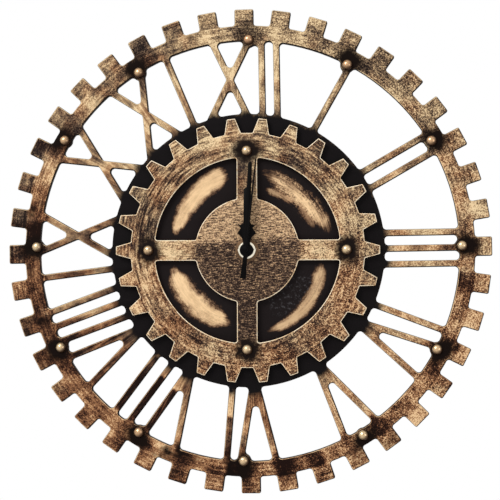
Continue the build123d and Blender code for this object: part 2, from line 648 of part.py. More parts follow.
# Rotor: pinion on its arbor, and the round magnet
with BuildPart() as rotor_pinion:
    round_bar(ROTOR, PIVOT_RADIUS, COVER_FRONT - PIVOT_DEPTH, BRIDGE_FRONT)
    wheel(
        ROTOR,
        ROTOR_TEETH,
        ROTOR_MODULE,
        gap_turn(ROTOR, INTERMEDIATE, ROTOR_TEETH),
        INTERMEDIATE_LEVEL - PINION_OVERLAP,
        SECOND_LEVEL,
    )
rotor_pinion.part.label = "rotor_pinion"
export_step(rotor_pinion.part, "parts/rotor_pinion.step")
with BuildPart() as rotor_magnet:
    round_bar(ROTOR, MAGNET_RADIUS, SECOND_LEVEL, THIRD_LEVEL + WHEEL_THICKNESS)
    round_bar(ROTOR, PIVOT_RADIUS, SECOND_LEVEL, THIRD_LEVEL + WHEEL_THICKNESS, mode=Mode.SUBTRACT)
rotor_magnet.part.label = "rotor_magnet"
export_step(rotor_magnet.part, "parts/rotor_magnet.step")

# Intermediate wheel: slows the rotor for the second hand
with BuildPart() as intermediate_wheel:
    round_bar(INTERMEDIATE, PIVOT_RADIUS, COVER_FRONT - PIVOT_DEPTH, BRIDGE_FRONT)
    wheel(
        INTERMEDIATE,
        INTERMEDIATE_TEETH,
        ROTOR_MODULE,
        bearing(INTERMEDIATE, ROTOR),
        INTERMEDIATE_LEVEL,
        INTERMEDIATE_LEVEL + WHEEL_THICKNESS,
    )
    wheel(
        INTERMEDIATE,
        INTERMEDIATE_PINION_TEETH,
        SECOND_MODULE,
        gap_turn(INTERMEDIATE, CENTRE, INTERMEDIATE_PINION_TEETH),
        INTERMEDIATE_LEVEL + WHEEL_THICKNESS,
        SECOND_LEVEL + WHEEL_THICKNESS + PINION_OVERLAP,
    )
intermediate_wheel.part.label = "intermediate_wheel"
export_step(intermediate_wheel.part, "parts/intermediate_wheel.step")

# Second wheel: its arbor runs through both pipes to the second hand
with BuildPart() as second_wheel:
    round_bar(CENTRE, PIVOT_RADIUS, COVER_FRONT - PIVOT_DEPTH, SECOND_FRONT - HAND_THICKNESS)
    wheel(
        CENTRE,
        SECOND_TEETH,
        SECOND_MODULE,
        bearing(CENTRE, INTERMEDIATE),
        SECOND_LEVEL,
        SECOND_LEVEL + WHEEL_THICKNESS,
    )
    wheel(
        CENTRE,
        SECOND_PINION_TEETH,
        THIRD_MODULE,
        gap_turn(CENTRE, THIRD, SECOND_PINION_TEETH),
        SECOND_LEVEL + WHEEL_THICKNESS,
        THIRD_LEVEL + WHEEL_THICKNESS + PINION_OVERLAP,
    )
second_wheel.part.label = "second_wheel"
export_step(second_wheel.part, "parts/second_wheel.step")

# Third wheel: its pinion passes the bridge to the centre wheel
with BuildPart() as third_wheel:
    round_bar(THIRD, PIVOT_RADIUS, COVER_FRONT - PIVOT_DEPTH, FLOOR_REAR + PIVOT_DEPTH)
    wheel(
        THIRD, THIRD_TEETH, THIRD_MODULE, bearing(THIRD, CENTRE), THIRD_LEVEL, THIRD_LEVEL + WHEEL_THICKNESS
    )
    wheel(
        THIRD,
        THIRD_PINION_TEETH,
        CENTRE_MODULE,
        gap_turn(THIRD, CENTRE, THIRD_PINION_TEETH),
        THIRD_LEVEL + WHEEL_THICKNESS,
        CENTRE_LEVEL + WHEEL_THICKNESS + PINION_OVERLAP,
    )
third_wheel.part.label = "third_wheel"
export_step(third_wheel.part, "parts/third_wheel.step")

# Centre wheel: slips on the minute pipe when the hands are set
with BuildPart() as centre_wheel:
    wheel(
        CENTRE,
        CENTRE_TEETH,
        CENTRE_MODULE,
        bearing(CENTRE, THIRD),
        CENTRE_LEVEL,
        CENTRE_LEVEL + WHEEL_THICKNESS,
    )
    round_bar(
        CENTRE,
        MINUTE_PIPE_RADIUS + RUNNING_FIT,
        CENTRE_LEVEL,
        CENTRE_LEVEL + WHEEL_THICKNESS,
        mode=Mode.SUBTRACT,
    )
centre_wheel.part.label = "centre_wheel"
export_step(centre_wheel.part, "parts/centre_wheel.step")

# Minute pipe: flange behind the centre wheel, cannon pinion and hollow shaft
CANNON_REAR = MOTION_LEVEL - PINION_OVERLAP
with BuildPart() as minute_pipe:
    flange_front = CENTRE_LEVEL - SLIP_GAP
    round_bar(CENTRE, PIPE_FLANGE_RADIUS, flange_front - PIPE_FLANGE_THICKNESS, flange_front)
    round_bar(CENTRE, MINUTE_PIPE_RADIUS, flange_front, MINUTE_FRONT)
    wheel(
        CENTRE,
        CANNON_TEETH,
        MOTION_MODULE,
        bearing(CENTRE, MINUTE),
        CANNON_REAR,
        MOTION_LEVEL + WHEEL_THICKNESS + PINION_OVERLAP,
    )
    round_bar(CENTRE, PIVOT_RADIUS + RUNNING_FIT, BRIDGE_FRONT, MINUTE_FRONT, mode=Mode.SUBTRACT)
minute_pipe.part.label = "minute_pipe"
export_step(minute_pipe.part, "parts/minute_pipe.step")
with BuildPart() as clutch_spring:
    round_bar(CENTRE, CLUTCH_RADIUS, CANNON_REAR - CLUTCH_THICKNESS, CANNON_REAR)
    round_bar(CENTRE, MINUTE_PIPE_RADIUS, CANNON_REAR - CLUTCH_THICKNESS, CANNON_REAR, mode=Mode.SUBTRACT)
clutch_spring.part.label = "clutch_spring"
export_step(clutch_spring.part, "parts/clutch_spring.step")

# Minute wheel: reduces the minute pipe for the hour wheel, and carries the setting knob
KNOB_FRONT = COVER_RECESS - KNOB_RECESS
with BuildPart() as minute_wheel:
    round_bar(MINUTE, MINUTE_ARBOR_RADIUS, KNOB_FRONT, FLOOR_REAR + PIVOT_DEPTH)
    wheel(
        MINUTE,
        MINUTE_WHEEL_TEETH,
        MOTION_MODULE,
        gap_turn(MINUTE, CENTRE, MINUTE_WHEEL_TEETH),
        MOTION_LEVEL,
        MOTION_LEVEL + WHEEL_THICKNESS,
    )
    wheel(
        MINUTE,
        MINUTE_PINION_TEETH,
        MOTION_MODULE,
        gap_turn(MINUTE, CENTRE, MINUTE_PINION_TEETH),
        MOTION_LEVEL + WHEEL_THICKNESS,
        HOUR_LEVEL + WHEEL_THICKNESS + PINION_OVERLAP,
    )
minute_wheel.part.label = "minute_wheel"
export_step(minute_wheel.part, "parts/minute_wheel.step")
with BuildPart() as setting_knob:
    round_bar(MINUTE, KNOB_RADIUS, KNOB_RECESS, KNOB_FRONT)
    with BuildSketch(face_plane(KNOB_RECESS)) as ribs:
        with Locations(MINUTE):
            with PolarLocations(KNOB_RADIUS, KNOB_RIBS):
                Circle(KNOB_RIB_RADIUS)
    extrude(ribs.sketch, amount=KNOB_FRONT - KNOB_RECESS, mode=Mode.SUBTRACT)
setting_knob.part.label = "setting_knob"
export_step(setting_knob.part, "parts/setting_knob.step")

# Hour wheel: its pipe runs on the minute pipe, inside the bush
with BuildPart() as hour_wheel:
    wheel(
        CENTRE, HOUR_TEETH, MOTION_MODULE, bearing(CENTRE, MINUTE), HOUR_LEVEL, HOUR_LEVEL + WHEEL_THICKNESS
    )
    round_bar(CENTRE, HOUR_PIPE_RADIUS, HOUR_LEVEL, HOUR_FRONT)
    round_bar(CENTRE, MINUTE_PIPE_RADIUS + RUNNING_FIT, HOUR_LEVEL, HOUR_FRONT, mode=Mode.SUBTRACT)
hour_wheel.part.label = "hour_wheel"
export_step(hour_wheel.part, "parts/hour_wheel.step")

# Stator: closed magnetic frame round the rotor, on the bridge pegs
STATOR_RIGHT = COIL_X + CORE_WIDTH / 2
with BuildPart() as stator:
    bar_left = STATOR_X - STATOR_BAR_HALF
    block(bar_left, STATOR_X + STATOR_BAR_HALF, STATOR_LOW, STATOR_HIGH, STATOR_REAR, STATOR_FRONT)
    block(bar_left, STATOR_RIGHT, STATOR_LOW, STATOR_LOW + STATOR_ARM, STATOR_REAR, STATOR_FRONT)
    block(bar_left, STATOR_RIGHT, STATOR_HIGH - STATOR_ARM, STATOR_HIGH, STATOR_REAR, STATOR_FRONT)
    round_bar(ROTOR, MAGNET_RADIUS + STATOR_GAP, STATOR_REAR, STATOR_FRONT, mode=Mode.SUBTRACT)
    for peg in STATOR_PEGS:
        round_bar(peg, STATOR_PEG_RADIUS + STATOR_PEG_FIT, STATOR_REAR, STATOR_FRONT, mode=Mode.SUBTRACT)
stator.part.label = "stator"
export_step(stator.part, "parts/stator.step")


# Coil: iron core across the stator arms, bobbin and winding
def coil_plane(height):
    """Plane square to the coil, at a height about the clock axis."""
    return Plane(origin=(COIL_X, -COIL_DEPTH, AXIS_Z + height), x_dir=(1, 0, 0), z_dir=(0, 0, 1))


with BuildPart() as coil_core:
    block(COIL_X - CORE_WIDTH / 2, STATOR_RIGHT, STATOR_LOW, STATOR_HIGH, CORE_REAR, STATOR_REAR)
coil_core.part.label = "coil_core"
export_step(coil_core.part, "parts/coil_core.step")
with BuildPart() as coil_bobbin:
    with BuildSketch(coil_plane(COIL_LOW)):
        Circle(COIL_TUBE_RADIUS)
    extrude(amount=COIL_HIGH - COIL_LOW)
    with BuildSketch(coil_plane(COIL_LOW), coil_plane(COIL_HIGH - COIL_FLANGE_THICKNESS)):
        Circle(COIL_FLANGE_RADIUS)
    extrude(amount=COIL_FLANGE_THICKNESS)
    with BuildSketch(coil_plane(COIL_LOW)):
        Rectangle(CORE_WIDTH + 2 * CORE_FIT, CORE_THICKNESS + 2 * CORE_FIT)
    extrude(amount=COIL_HIGH - COIL_LOW, mode=Mode.SUBTRACT)
coil_bobbin.part.label = "coil_bobbin"
export_step(coil_bobbin.part, "parts/coil_bobbin.step")
with BuildPart() as coil_winding:
    with BuildSketch(coil_plane(COIL_LOW + COIL_FLANGE_THICKNESS)):
        Circle(COIL_RADIUS)
        Circle(COIL_TUBE_RADIUS, mode=Mode.SUBTRACT)
    extrude(amount=COIL_HIGH - COIL_LOW - 2 * COIL_FLANGE_THICKNESS)
coil_winding.part.label = "coil_winding"
export_step(coil_winding.part, "parts/coil_winding.step")

# Circuit board on the rear of the bridge, with its chip and crystal
CIRCUIT_TOP = CHAMBER_TOP - TRAIN_GAP
CIRCUIT_LOW = CIRCUIT_TOP - CIRCUIT_HEIGHT
CIRCUIT_LEFT = POSTS[0][0] + POST_SHOULDER_RADIUS
CIRCUIT_RIGHT = CIRCUIT_LEFT + CIRCUIT_LENGTH
CIRCUIT_REAR = BRIDGE_REAR - CIRCUIT_THICKNESS
CIRCUIT_MIDDLE = (CIRCUIT_LOW + CIRCUIT_TOP) / 2
with BuildPart() as circuit_board:
    block(CIRCUIT_LEFT, CIRCUIT_RIGHT, CIRCUIT_LOW, CIRCUIT_TOP, CIRCUIT_REAR, BRIDGE_REAR)
circuit_board.part.label = "circuit_board"
export_step(circuit_board.part, "parts/circuit_board.step")
with BuildPart() as timer_chip:
    chip_left = CIRCUIT_LEFT + TRAIN_GAP
    chip_low = CIRCUIT_MIDDLE - CHIP_SIDE / 2
    chip_rear = CIRCUIT_REAR - CHIP_THICKNESS
    block(chip_left, chip_left + CHIP_SIDE, chip_low, chip_low + CHIP_SIDE, chip_rear, CIRCUIT_REAR)
timer_chip.part.label = "timer_chip"
export_step(timer_chip.part, "parts/timer_chip.step")
with BuildPart() as crystal:
    crystal_end = Plane(
        origin=(
            CIRCUIT_RIGHT - TRAIN_GAP,
            -(CIRCUIT_REAR - CRYSTAL_RADIUS - CRYSTAL_SEAT),
            AXIS_Z + CIRCUIT_MIDDLE,
        ),
        x_dir=(0, 0, 1),
        z_dir=(-1, 0, 0),
    )
    with BuildSketch(crystal_end):
        Circle(CRYSTAL_RADIUS)
    extrude(amount=CRYSTAL_LENGTH)
crystal.part.label = "crystal"
export_step(crystal.part, "parts/crystal.step")

# Battery across the bay, its nub to the right, and the two contacts on the end walls
BATTERY_Z = (BAY_LOW + BAY_TOP) / 2
BATTERY_DEPTH = BAY_DEPTH / 2
BATTERY_NUB_END = CHAMBER_HALF - CONTACT_THICKNESS - CONTACT_DIMPLE - CONTACT_GAP
BATTERY_RIGHT = BATTERY_NUB_END - BATTERY_NUB_LENGTH
BATTERY_LEFT = BATTERY_RIGHT - BATTERY_LENGTH


def battery_plane(across):
    """Plane square to the battery, at a place across the case."""
    return Plane(origin=(across, -BATTERY_DEPTH, AXIS_Z + BATTERY_Z), x_dir=(0, 0, 1), z_dir=(1, 0, 0))


with BuildPart() as battery:
    with BuildSketch(battery_plane(BATTERY_LEFT)):
        Circle(BATTERY_RADIUS)
    extrude(amount=BATTERY_LENGTH)
    fillet(battery.edges().filter_by(GeomType.CIRCLE), BATTERY_EDGE)
    with BuildSketch(battery_plane(BATTERY_RIGHT)):
        Circle(BATTERY_NUB_RADIUS)
    extrude(amount=BATTERY_NUB_LENGTH)
battery.part.label = "battery"
export_step(battery.part, "parts/battery.step")
with BuildPart() as contact_positive:
    with BuildSketch(battery_plane(CHAMBER_HALF - CONTACT_THICKNESS)):
        Rectangle(CONTACT_SIDE, CONTACT_SIDE)
    extrude(amount=CONTACT_THICKNESS)
    with BuildSketch(battery_plane(BATTERY_NUB_END + CONTACT_GAP)):
        Circle(CONTACT_DIMPLE_RADIUS)
    extrude(amount=CONTACT_DIMPLE)
contact_positive.part.label = "contact_positive"
export_step(contact_positive.part, "parts/contact_positive.step")
with BuildPart() as contact_negative:
    with BuildSketch(battery_plane(-CHAMBER_HALF)):
        Rectangle(CONTACT_SIDE, CONTACT_SIDE)
    extrude(amount=CONTACT_THICKNESS)
    leaf_foot = CONTACT_THICKNESS - CHAMBER_HALF
    leaf_tip = BATTERY_LEFT - CONTACT_GAP
    with BuildSketch(face_plane(BATTERY_DEPTH - CONTACT_SIDE / 2)) as leaf:
        with BuildLine():
            Polyline(
                (leaf_foot, BATTERY_Z + CONTACT_LEAF_HEIGHT / 2),
                (leaf_tip, BATTERY_Z),
                (leaf_foot, BATTERY_Z - CONTACT_LEAF_HEIGHT / 2),
                close=True,
            )
        make_face()
    extrude(leaf.sketch, amount=CONTACT_SIDE)
contact_negative.part.label = "contact_negative"
export_step(contact_negative.part, "parts/contact_negative.step")

# Bush with its collar: ties the movement to the dial
with BuildPart() as threaded_bush:
    round_bar(CENTRE, BUSH_RADIUS, FLOOR_REAR, BUSH_FRONT)
    round_bar(CENTRE, BUSH_COLLAR_RADIUS, CASE_FRONT, CASE_FRONT + BUSH_COLLAR_THICKNESS)
    round_bar(CENTRE, HOUR_PIPE_RADIUS + RUNNING_FIT, FLOOR_REAR, BUSH_FRONT, mode=Mode.SUBTRACT)
threaded_bush.part.label = "threaded_bush"
export_step(threaded_bush.part, "parts/threaded_bush.step")
with BuildPart() as rubber_washer:
    round_bar(CENTRE, RUBBER_RADIUS, CASE_FRONT, BOARD_REAR)
    round_bar(CENTRE, BUSH_COLLAR_RADIUS + RUBBER_FIT, CASE_FRONT, BOARD_REAR, mode=Mode.SUBTRACT)
rubber_washer.part.label = "rubber_washer"
export_step(rubber_washer.part, "parts/rubber_washer.step")
with BuildPart() as brass_washer:
    round_bar(CENTRE, BRASS_RADIUS, GEAR_FRONT, BRASS_FRONT)
    round_bar(CENTRE, BUSH_RADIUS + BUSH_HOLE_FIT, GEAR_FRONT, BRASS_FRONT, mode=Mode.SUBTRACT)
brass_washer.part.label = "brass_washer"
export_step(brass_washer.part, "parts/brass_washer.step")
with BuildPart() as clamp_nut:
    round_bar(CENTRE, NUT_RADIUS, BRASS_FRONT, NUT_FRONT)
    chamfer(clamp_nut.faces().sort_by(Axis.Y)[0].edges(), NUT_CHAMFER)
    round_bar(CENTRE, BUSH_RADIUS, BRASS_FRONT, NUT_FRONT, mode=Mode.SUBTRACT)
    slot_half = NUT_SLOT_WIDTH / 2
    slot_rear = NUT_FRONT - NUT_SLOT_DEPTH
    block(-NUT_RADIUS, NUT_RADIUS, -slot_half, slot_half, slot_rear, NUT_FRONT, mode=Mode.SUBTRACT)
clamp_nut.part.label = "clamp_nut"
export_step(clamp_nut.part, "parts/clamp_nut.step")


def hand_plane(depth, angle):
    """Plane of a hand at its clock angle, with Y along the hand."""
    return Plane(face_plane(depth).location * Location((0, 0, 0), (0, 0, -angle)))


# Hour hand: spade with a barb above it and a straight blade
with BuildPart() as hour_hand:
    with BuildSketch(hand_plane(HOUR_REAR, HOUR_ANGLE)):
        with BuildLine():
            Line((0, 0), (HOUR_NECK_HALF, 0))
            Line((HOUR_NECK_HALF, 0), (HOUR_NECK_HALF, HOUR_DISC_RADIUS))
            neck = (HOUR_NECK_HALF, HOUR_DISC_RADIUS)
            bulge = (HOUR_BULGE_HALF, HOUR_BULGE_HEIGHT)
            TangentArc(neck, bulge, tangent=(0, 1))
            notch = (HOUR_NOTCH_HALF, HOUR_NOTCH_HEIGHT)
            Line(bulge, notch)
            barb = (HOUR_BARB_HALF, HOUR_BARB_HEIGHT)
            Line(notch, barb)
            root = (HOUR_BLADE_HALF, HOUR_BLADE_HEIGHT)
            TangentArc(root, barb, tangent=(0, -1))
            Polyline(root, (HOUR_BLADE_HALF, HOUR_LENGTH), (0, HOUR_LENGTH + HOUR_TIP))
            mirror(about=Plane.YZ)
        make_face()
        Circle(HOUR_DISC_RADIUS)
    extrude(amount=HAND_THICKNESS)
    round_bar(CENTRE, HOUR_BOSS_RADIUS, HOUR_REAR, HOUR_FRONT)
    round_bar(CENTRE, HOUR_PIPE_RADIUS, HOUR_REAR, HOUR_FRONT, mode=Mode.SUBTRACT)
hour_hand.part.label = "hour_hand"
export_step(hour_hand.part, "parts/hour_hand.step")

# Minute hand: slim tapered blade
with BuildPart() as minute_hand:
    with BuildSketch(hand_plane(MINUTE_REAR, MINUTE_ANGLE)):
        with BuildLine():
            Polyline(
                (0, 0),
                (MINUTE_ROOT_HALF, 0),
                (MINUTE_END_HALF, MINUTE_LENGTH),
                (0, MINUTE_LENGTH + MINUTE_TIP),
            )
            mirror(about=Plane.YZ)
        make_face()
        Circle(MINUTE_DISC_RADIUS)
    extrude(amount=HAND_THICKNESS)
    round_bar(CENTRE, MINUTE_BOSS_RADIUS, MINUTE_REAR, MINUTE_BOSS_FRONT)
    round_bar(CENTRE, MINUTE_PIPE_RADIUS, MINUTE_REAR, MINUTE_BOSS_FRONT, mode=Mode.SUBTRACT)
minute_hand.part.label = "minute_hand"
export_step(minute_hand.part, "parts/minute_hand.step")
with BuildPart() as minute_nut:
    round_bar(CENTRE, MINUTE_NUT_RADIUS, MINUTE_BOSS_FRONT, MINUTE_FRONT)
    round_bar(CENTRE, MINUTE_PIPE_RADIUS, MINUTE_BOSS_FRONT, MINUTE_FRONT, mode=Mode.SUBTRACT)
minute_nut.part.label = "minute_nut"
export_step(minute_nut.part, "parts/minute_nut.step")

# Second hand: needle with a flared tail, on a closed boss
with BuildPart() as second_hand:
    with BuildSketch(hand_plane(SECOND_REAR, SECOND_ANGLE)):
        with BuildLine():
            Polyline(
                (0, -SECOND_TAIL),
                (SECOND_TAIL_END_HALF, -SECOND_TAIL),
                (SECOND_TAIL_ROOT_HALF, 0),
                (SECOND_ROOT_HALF, 0),
                (SECOND_END_HALF, SECOND_LENGTH),
                (0, SECOND_LENGTH),
            )
            mirror(about=Plane.YZ)
        make_face()
        Circle(SECOND_DISC_RADIUS)
    extrude(amount=HAND_THICKNESS)
    round_bar(CENTRE, SECOND_BOSS_RADIUS, SECOND_REAR, SECOND_FRONT)
    shaft_end = SECOND_FRONT - HAND_THICKNESS
    round_bar(CENTRE, PIVOT_RADIUS, SECOND_REAR, shaft_end, mode=Mode.SUBTRACT)
second_hand.part.label = "second_hand"
export_step(second_hand.part, "parts/second_hand.step")
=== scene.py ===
"""Looks of the wall clock: bronze dry-brushed over black board, brass studs, black hands and movement."""
import json
from collections import namedtuple
from math import cos, degrees, pi, radians, sin

import bmesh
import bpy
from mathutils import Matrix, Vector


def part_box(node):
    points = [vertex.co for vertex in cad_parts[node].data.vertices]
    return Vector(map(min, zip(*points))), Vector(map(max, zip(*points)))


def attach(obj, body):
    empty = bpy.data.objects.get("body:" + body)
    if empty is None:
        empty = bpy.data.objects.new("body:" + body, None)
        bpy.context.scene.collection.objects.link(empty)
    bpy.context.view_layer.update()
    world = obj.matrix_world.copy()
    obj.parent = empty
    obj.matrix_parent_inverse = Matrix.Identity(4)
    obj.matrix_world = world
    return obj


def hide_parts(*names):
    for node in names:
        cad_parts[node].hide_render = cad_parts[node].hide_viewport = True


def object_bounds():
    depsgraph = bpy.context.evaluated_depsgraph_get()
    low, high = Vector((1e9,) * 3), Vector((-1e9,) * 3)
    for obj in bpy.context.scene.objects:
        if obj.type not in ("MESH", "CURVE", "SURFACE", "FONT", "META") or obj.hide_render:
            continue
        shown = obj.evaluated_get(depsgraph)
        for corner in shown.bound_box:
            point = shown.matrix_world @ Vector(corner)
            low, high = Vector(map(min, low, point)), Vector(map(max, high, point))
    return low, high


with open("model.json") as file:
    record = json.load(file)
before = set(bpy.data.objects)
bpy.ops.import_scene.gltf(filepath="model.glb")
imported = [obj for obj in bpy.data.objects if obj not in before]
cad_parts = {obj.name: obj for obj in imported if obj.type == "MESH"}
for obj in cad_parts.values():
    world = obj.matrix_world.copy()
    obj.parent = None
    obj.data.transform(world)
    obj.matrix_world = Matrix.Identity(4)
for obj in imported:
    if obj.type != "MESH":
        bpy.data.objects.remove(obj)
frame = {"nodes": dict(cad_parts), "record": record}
CAD_LOW, CAD_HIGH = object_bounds()
MM = 0.001

# Distance below which two points are one: in outlines and studs, and in sheets and fittings
WELD = 0.02 * MM
MERGE = 0.002 * MM

# Most sides of a gap that is closed where the nodes of the dial board meet
SEAM_SIDES = 12

# Camera: where the photograph was taken from, in degrees and metres, and its sensor in millimetres
CAMERA_YAW = 4.35
CAMERA_PITCH = -1.4
CAMERA_ROLL = -0.9
CAMERA_DISTANCE = 1.1
CAMERA_SPAN = 412.7 * MM
CAMERA_AIM = (2.1 * MM, 0.2 * MM)
SENSOR = 36.0

# Lamps: name, place from the clock axis, size and power
LAMPS = [
    ("key", (-0.95, -1.25, 1.15), 0.9, 26),
    ("fill", (1.3, -1.2, 0.1), 1.0, 7),
    ("back", (0.6, 1.5, 0.9), 1.0, 14),
]

# World: strength that lights the clock, and strength where the world itself is seen
ROOM_LIGHT = 0.45
WHITE_LIGHT = 1.0

# Floor: half its side, its depth below the clock and its paint
FLOOR_HALF = 1.4
FLOOR_DROP = 0.4
FLOOR_PAINT = (0.86, 0.86, 0.86, 1)
FLOOR_ROUGHNESS = 0.9

# Edge roundings of the boards and of the fittings, and the steps in one
BOARD_EDGE = 1.2 * MM
GEAR_EDGE = 1.1 * MM
HAND_EDGE = 0.12 * MM
CASE_EDGE = 0.35 * MM
FITTING_EDGE = 0.15 * MM
SHEET_STEPS = 3
FITTING_STEPS = 2

# Angles between faces: flat enough to join, sharp enough to round, and where smooth shading stops
FLAT_ANGLE = radians(0.5)
SHARP_ANGLE = radians(40)
SHEET_CREASE = radians(35)
FITTING_CREASE = radians(32)

# Finishes of a sheet in their order, and how far a face has to look to the front for each
FRONT, LIT_EDGE, PAINTED_SHADE_EDGE, WALL, BACK = range(5)
FRONT_FACING = 0.98
STEEP_FACING = 0.6
EDGE_FACING = 0.2

# Side of the boards turned from the key lamp, whose edges get painted shade over the bare black base coat,
# and how far an edge has to look that way to get it
SHADE_SIDE = Vector((0.75, 0, -0.66))
SHADE_SIDE_FACING = 0.12

# Dial: its nodes, axis, depths and outer gear radius from the frame, the other radii as in the part
BOARD_NODES = ["rim_ring"] + [f"numeral_{hour:02d}" for hour in range(1, 13)] + ["centre_disc"]
BUSH_LOW, BUSH_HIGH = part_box("threaded_bush")
AXIS = Vector(((BUSH_LOW.x + BUSH_HIGH.x) / 2, 0, (BUSH_LOW.z + BUSH_HIGH.z) / 2))
BOARD_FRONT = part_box("centre_disc")[0].y
BOARD_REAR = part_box("centre_disc")[1].y
GEAR_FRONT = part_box("gear_plate")[0].y
GEAR_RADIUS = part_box("gear_plate")[1].x - AXIS.x
DISC_RADIUS = GEAR_RADIUS + 4 * MM
HUB_RADIUS = 43 * MM
WINDOW_RADIUS = 76.6 * MM
RIM_INNER = 173.7 * MM
RIM_ROOT = 186.4 * MM

# Studs: head and pin of one nail, its faces, its greatest tilt, and the middle of the painted light on its
# head
STUD_RADIUS = 4.3 * MM
STUD_FOOT = 0.96 * STUD_RADIUS
STUD_HEIGHT = 3.4 * MM
STUD_SKIRT = 0.6 * MM
STUD_PIN = 0.8 * MM
STUD_SIDES = 40
STUD_RINGS = 10
STUD_TILT = 0.06
STUD_SEED = 85
STUD_LIGHT_SPOT = Vector((-1.3, 0, 1.5)) * MM

# Soot round the studs: half width and half height of an oval, and how far outward of the stud it lies
RIM_SOOT = (9.5 * MM, 11 * MM, 3.5 * MM)
GEAR_SOOT = (11.5 * MM, 9.5 * MM, 0.0)

# Dark smear about the gear's top stud: half width, depth and half height, and its place from the stud
SMEAR_SIZE = (11 * MM, 1.0, 14 * MM)
SMEAR_SHIFT = Vector((-2, 0, -2)) * MM

# Brush strokes on the disc: clock angle in degrees and radius of both ends, bow, half width,
# raggedness, cover, widening towards the second end and narrowing towards both ends
Stroke = namedtuple("Stroke", "start start_radius end end_radius bow half ragged cover widening narrowing")
STROKES = [
    Stroke(-77, 61.0 * MM, -13, 66.0 * MM, 1.4 * MM, 6.1 * MM, 0.2, 0.96, 0.28, 0.1),
    Stroke(50, 57.0 * MM, 72, 58.0 * MM, 1.0 * MM, 2.4 * MM, 1.0, 0.4, 0.0, 0.1),
    Stroke(18, 53.0 * MM, 44, 55.0 * MM, 1.0 * MM, 2.2 * MM, 1.0, 0.65, 0.0, 0.1),
    Stroke(16, 65.5 * MM, 75, 67.5 * MM, 5.2 * MM, 5.3 * MM, 1.0, 1.0, 0.0, 0.1),
    Stroke(195, 61.5 * MM, 257, 62.5 * MM, 0.6 * MM, 8.0 * MM, 0.3, 1.0, 0.0, 0.4),
    Stroke(102, 61.5 * MM, 165, 68.6 * MM, -1.2 * MM, 4.2 * MM, 0.4, 0.82, -0.2, 0.2),
]

# Scuffs in one window: clock angle, and how far from it they begin to fade and end, in degrees
SCUFFS = (136, degrees(0.3), degrees(0.45))

# Where the cloudy light and dark of the paint starts from
CLOUD_PLACE = (0.89, 0.02, 0.95)

# Bars burnt dark towards the rim: clock angle and half width in degrees, and the radius where the dark begins
BURNT_BARS = [(187, 3.5, 138 * MM), (208.8, 2.4, 130 * MM), (214, 2.3, 126 * MM), (219.3, 2.4, 116 * MM)]

# Light and dark places of the gear's ring, the teeth and the rim: clock angle and half width
# in degrees, and how much lighter
RING_PLACES = [
    (45, 14, -0.09), (80, 12, 0.09), (132, 16, 0.1),
    (220, 14, -0.09), (252, 15, 0.3), (285, 15, -0.24),
]
TEETH_PLACES = [
    (60, 14, -0.09), (112, 30, 0.07), (190, 18, -0.06),
    (240, 20, -0.07), (283, 16, -0.12), (345, 30, 0.09),
]
RIM_PLACES = [
    (36, 5, -0.22), (99.5, 2.5, -0.42), (107, 4, -0.2), (125, 2, -0.22),
    (135, 34, 0.07), (136.5, 2, -0.28), (143.5, 2.5, -0.4), (162.5, 2, -0.55),
    (171, 2.6, -0.7), (194, 2, 0.2), (199, 1.8, -0.3), (204, 3, 0.35),
    (227, 4, 0.14), (258, 7, -0.28), (275, 4, -0.38), (289, 5, 0.09),
    (306, 3.5, -0.26), (313, 2.5, 0.2), (321, 4, -0.16), (337, 5, -0.24),
    (353, 3, 0.2),
]


def paint(red, green, blue):
    """Linear colour of a paint given by its 8-bit screen values."""
    linear = []
    for part in (red / 255, green / 255, blue / 255):
        linear.append(part / 12.92 if part <= 0.04045 else ((part + 0.055) / 1.055) ** 2.4)
    return (*linear, 1.0)


SOOT = paint(17, 9, 6)
SMEAR = paint(40, 32, 33)
DISC_BLACK = paint(9, 8, 8)
TAN = paint(176, 138, 100)
CREAM = paint(238, 203, 157)
THIN_PAINT = paint(172, 122, 88)
WARM_TONES = [(26, 13, 9), (64, 39, 28), (106, 70, 48), (146, 102, 70), (182, 138, 98), (226, 190, 146)]
OLIVE_TONES = [(30, 22, 20), (68, 54, 45), (108, 88, 70), (148, 122, 92), (186, 157, 118), (226, 200, 158)]

# A point of the dial: distance across and up from the clock axis, radius, and direction as sine and cosine
Polar = namedtuple("Polar", "across up radius sine cosine")

# Sockets of a Mix node for numbers and for colours: both values and the result
MIX_NUMBERS = (2, 3, 0)
MIX_COLOURS = (6, 7, 2)


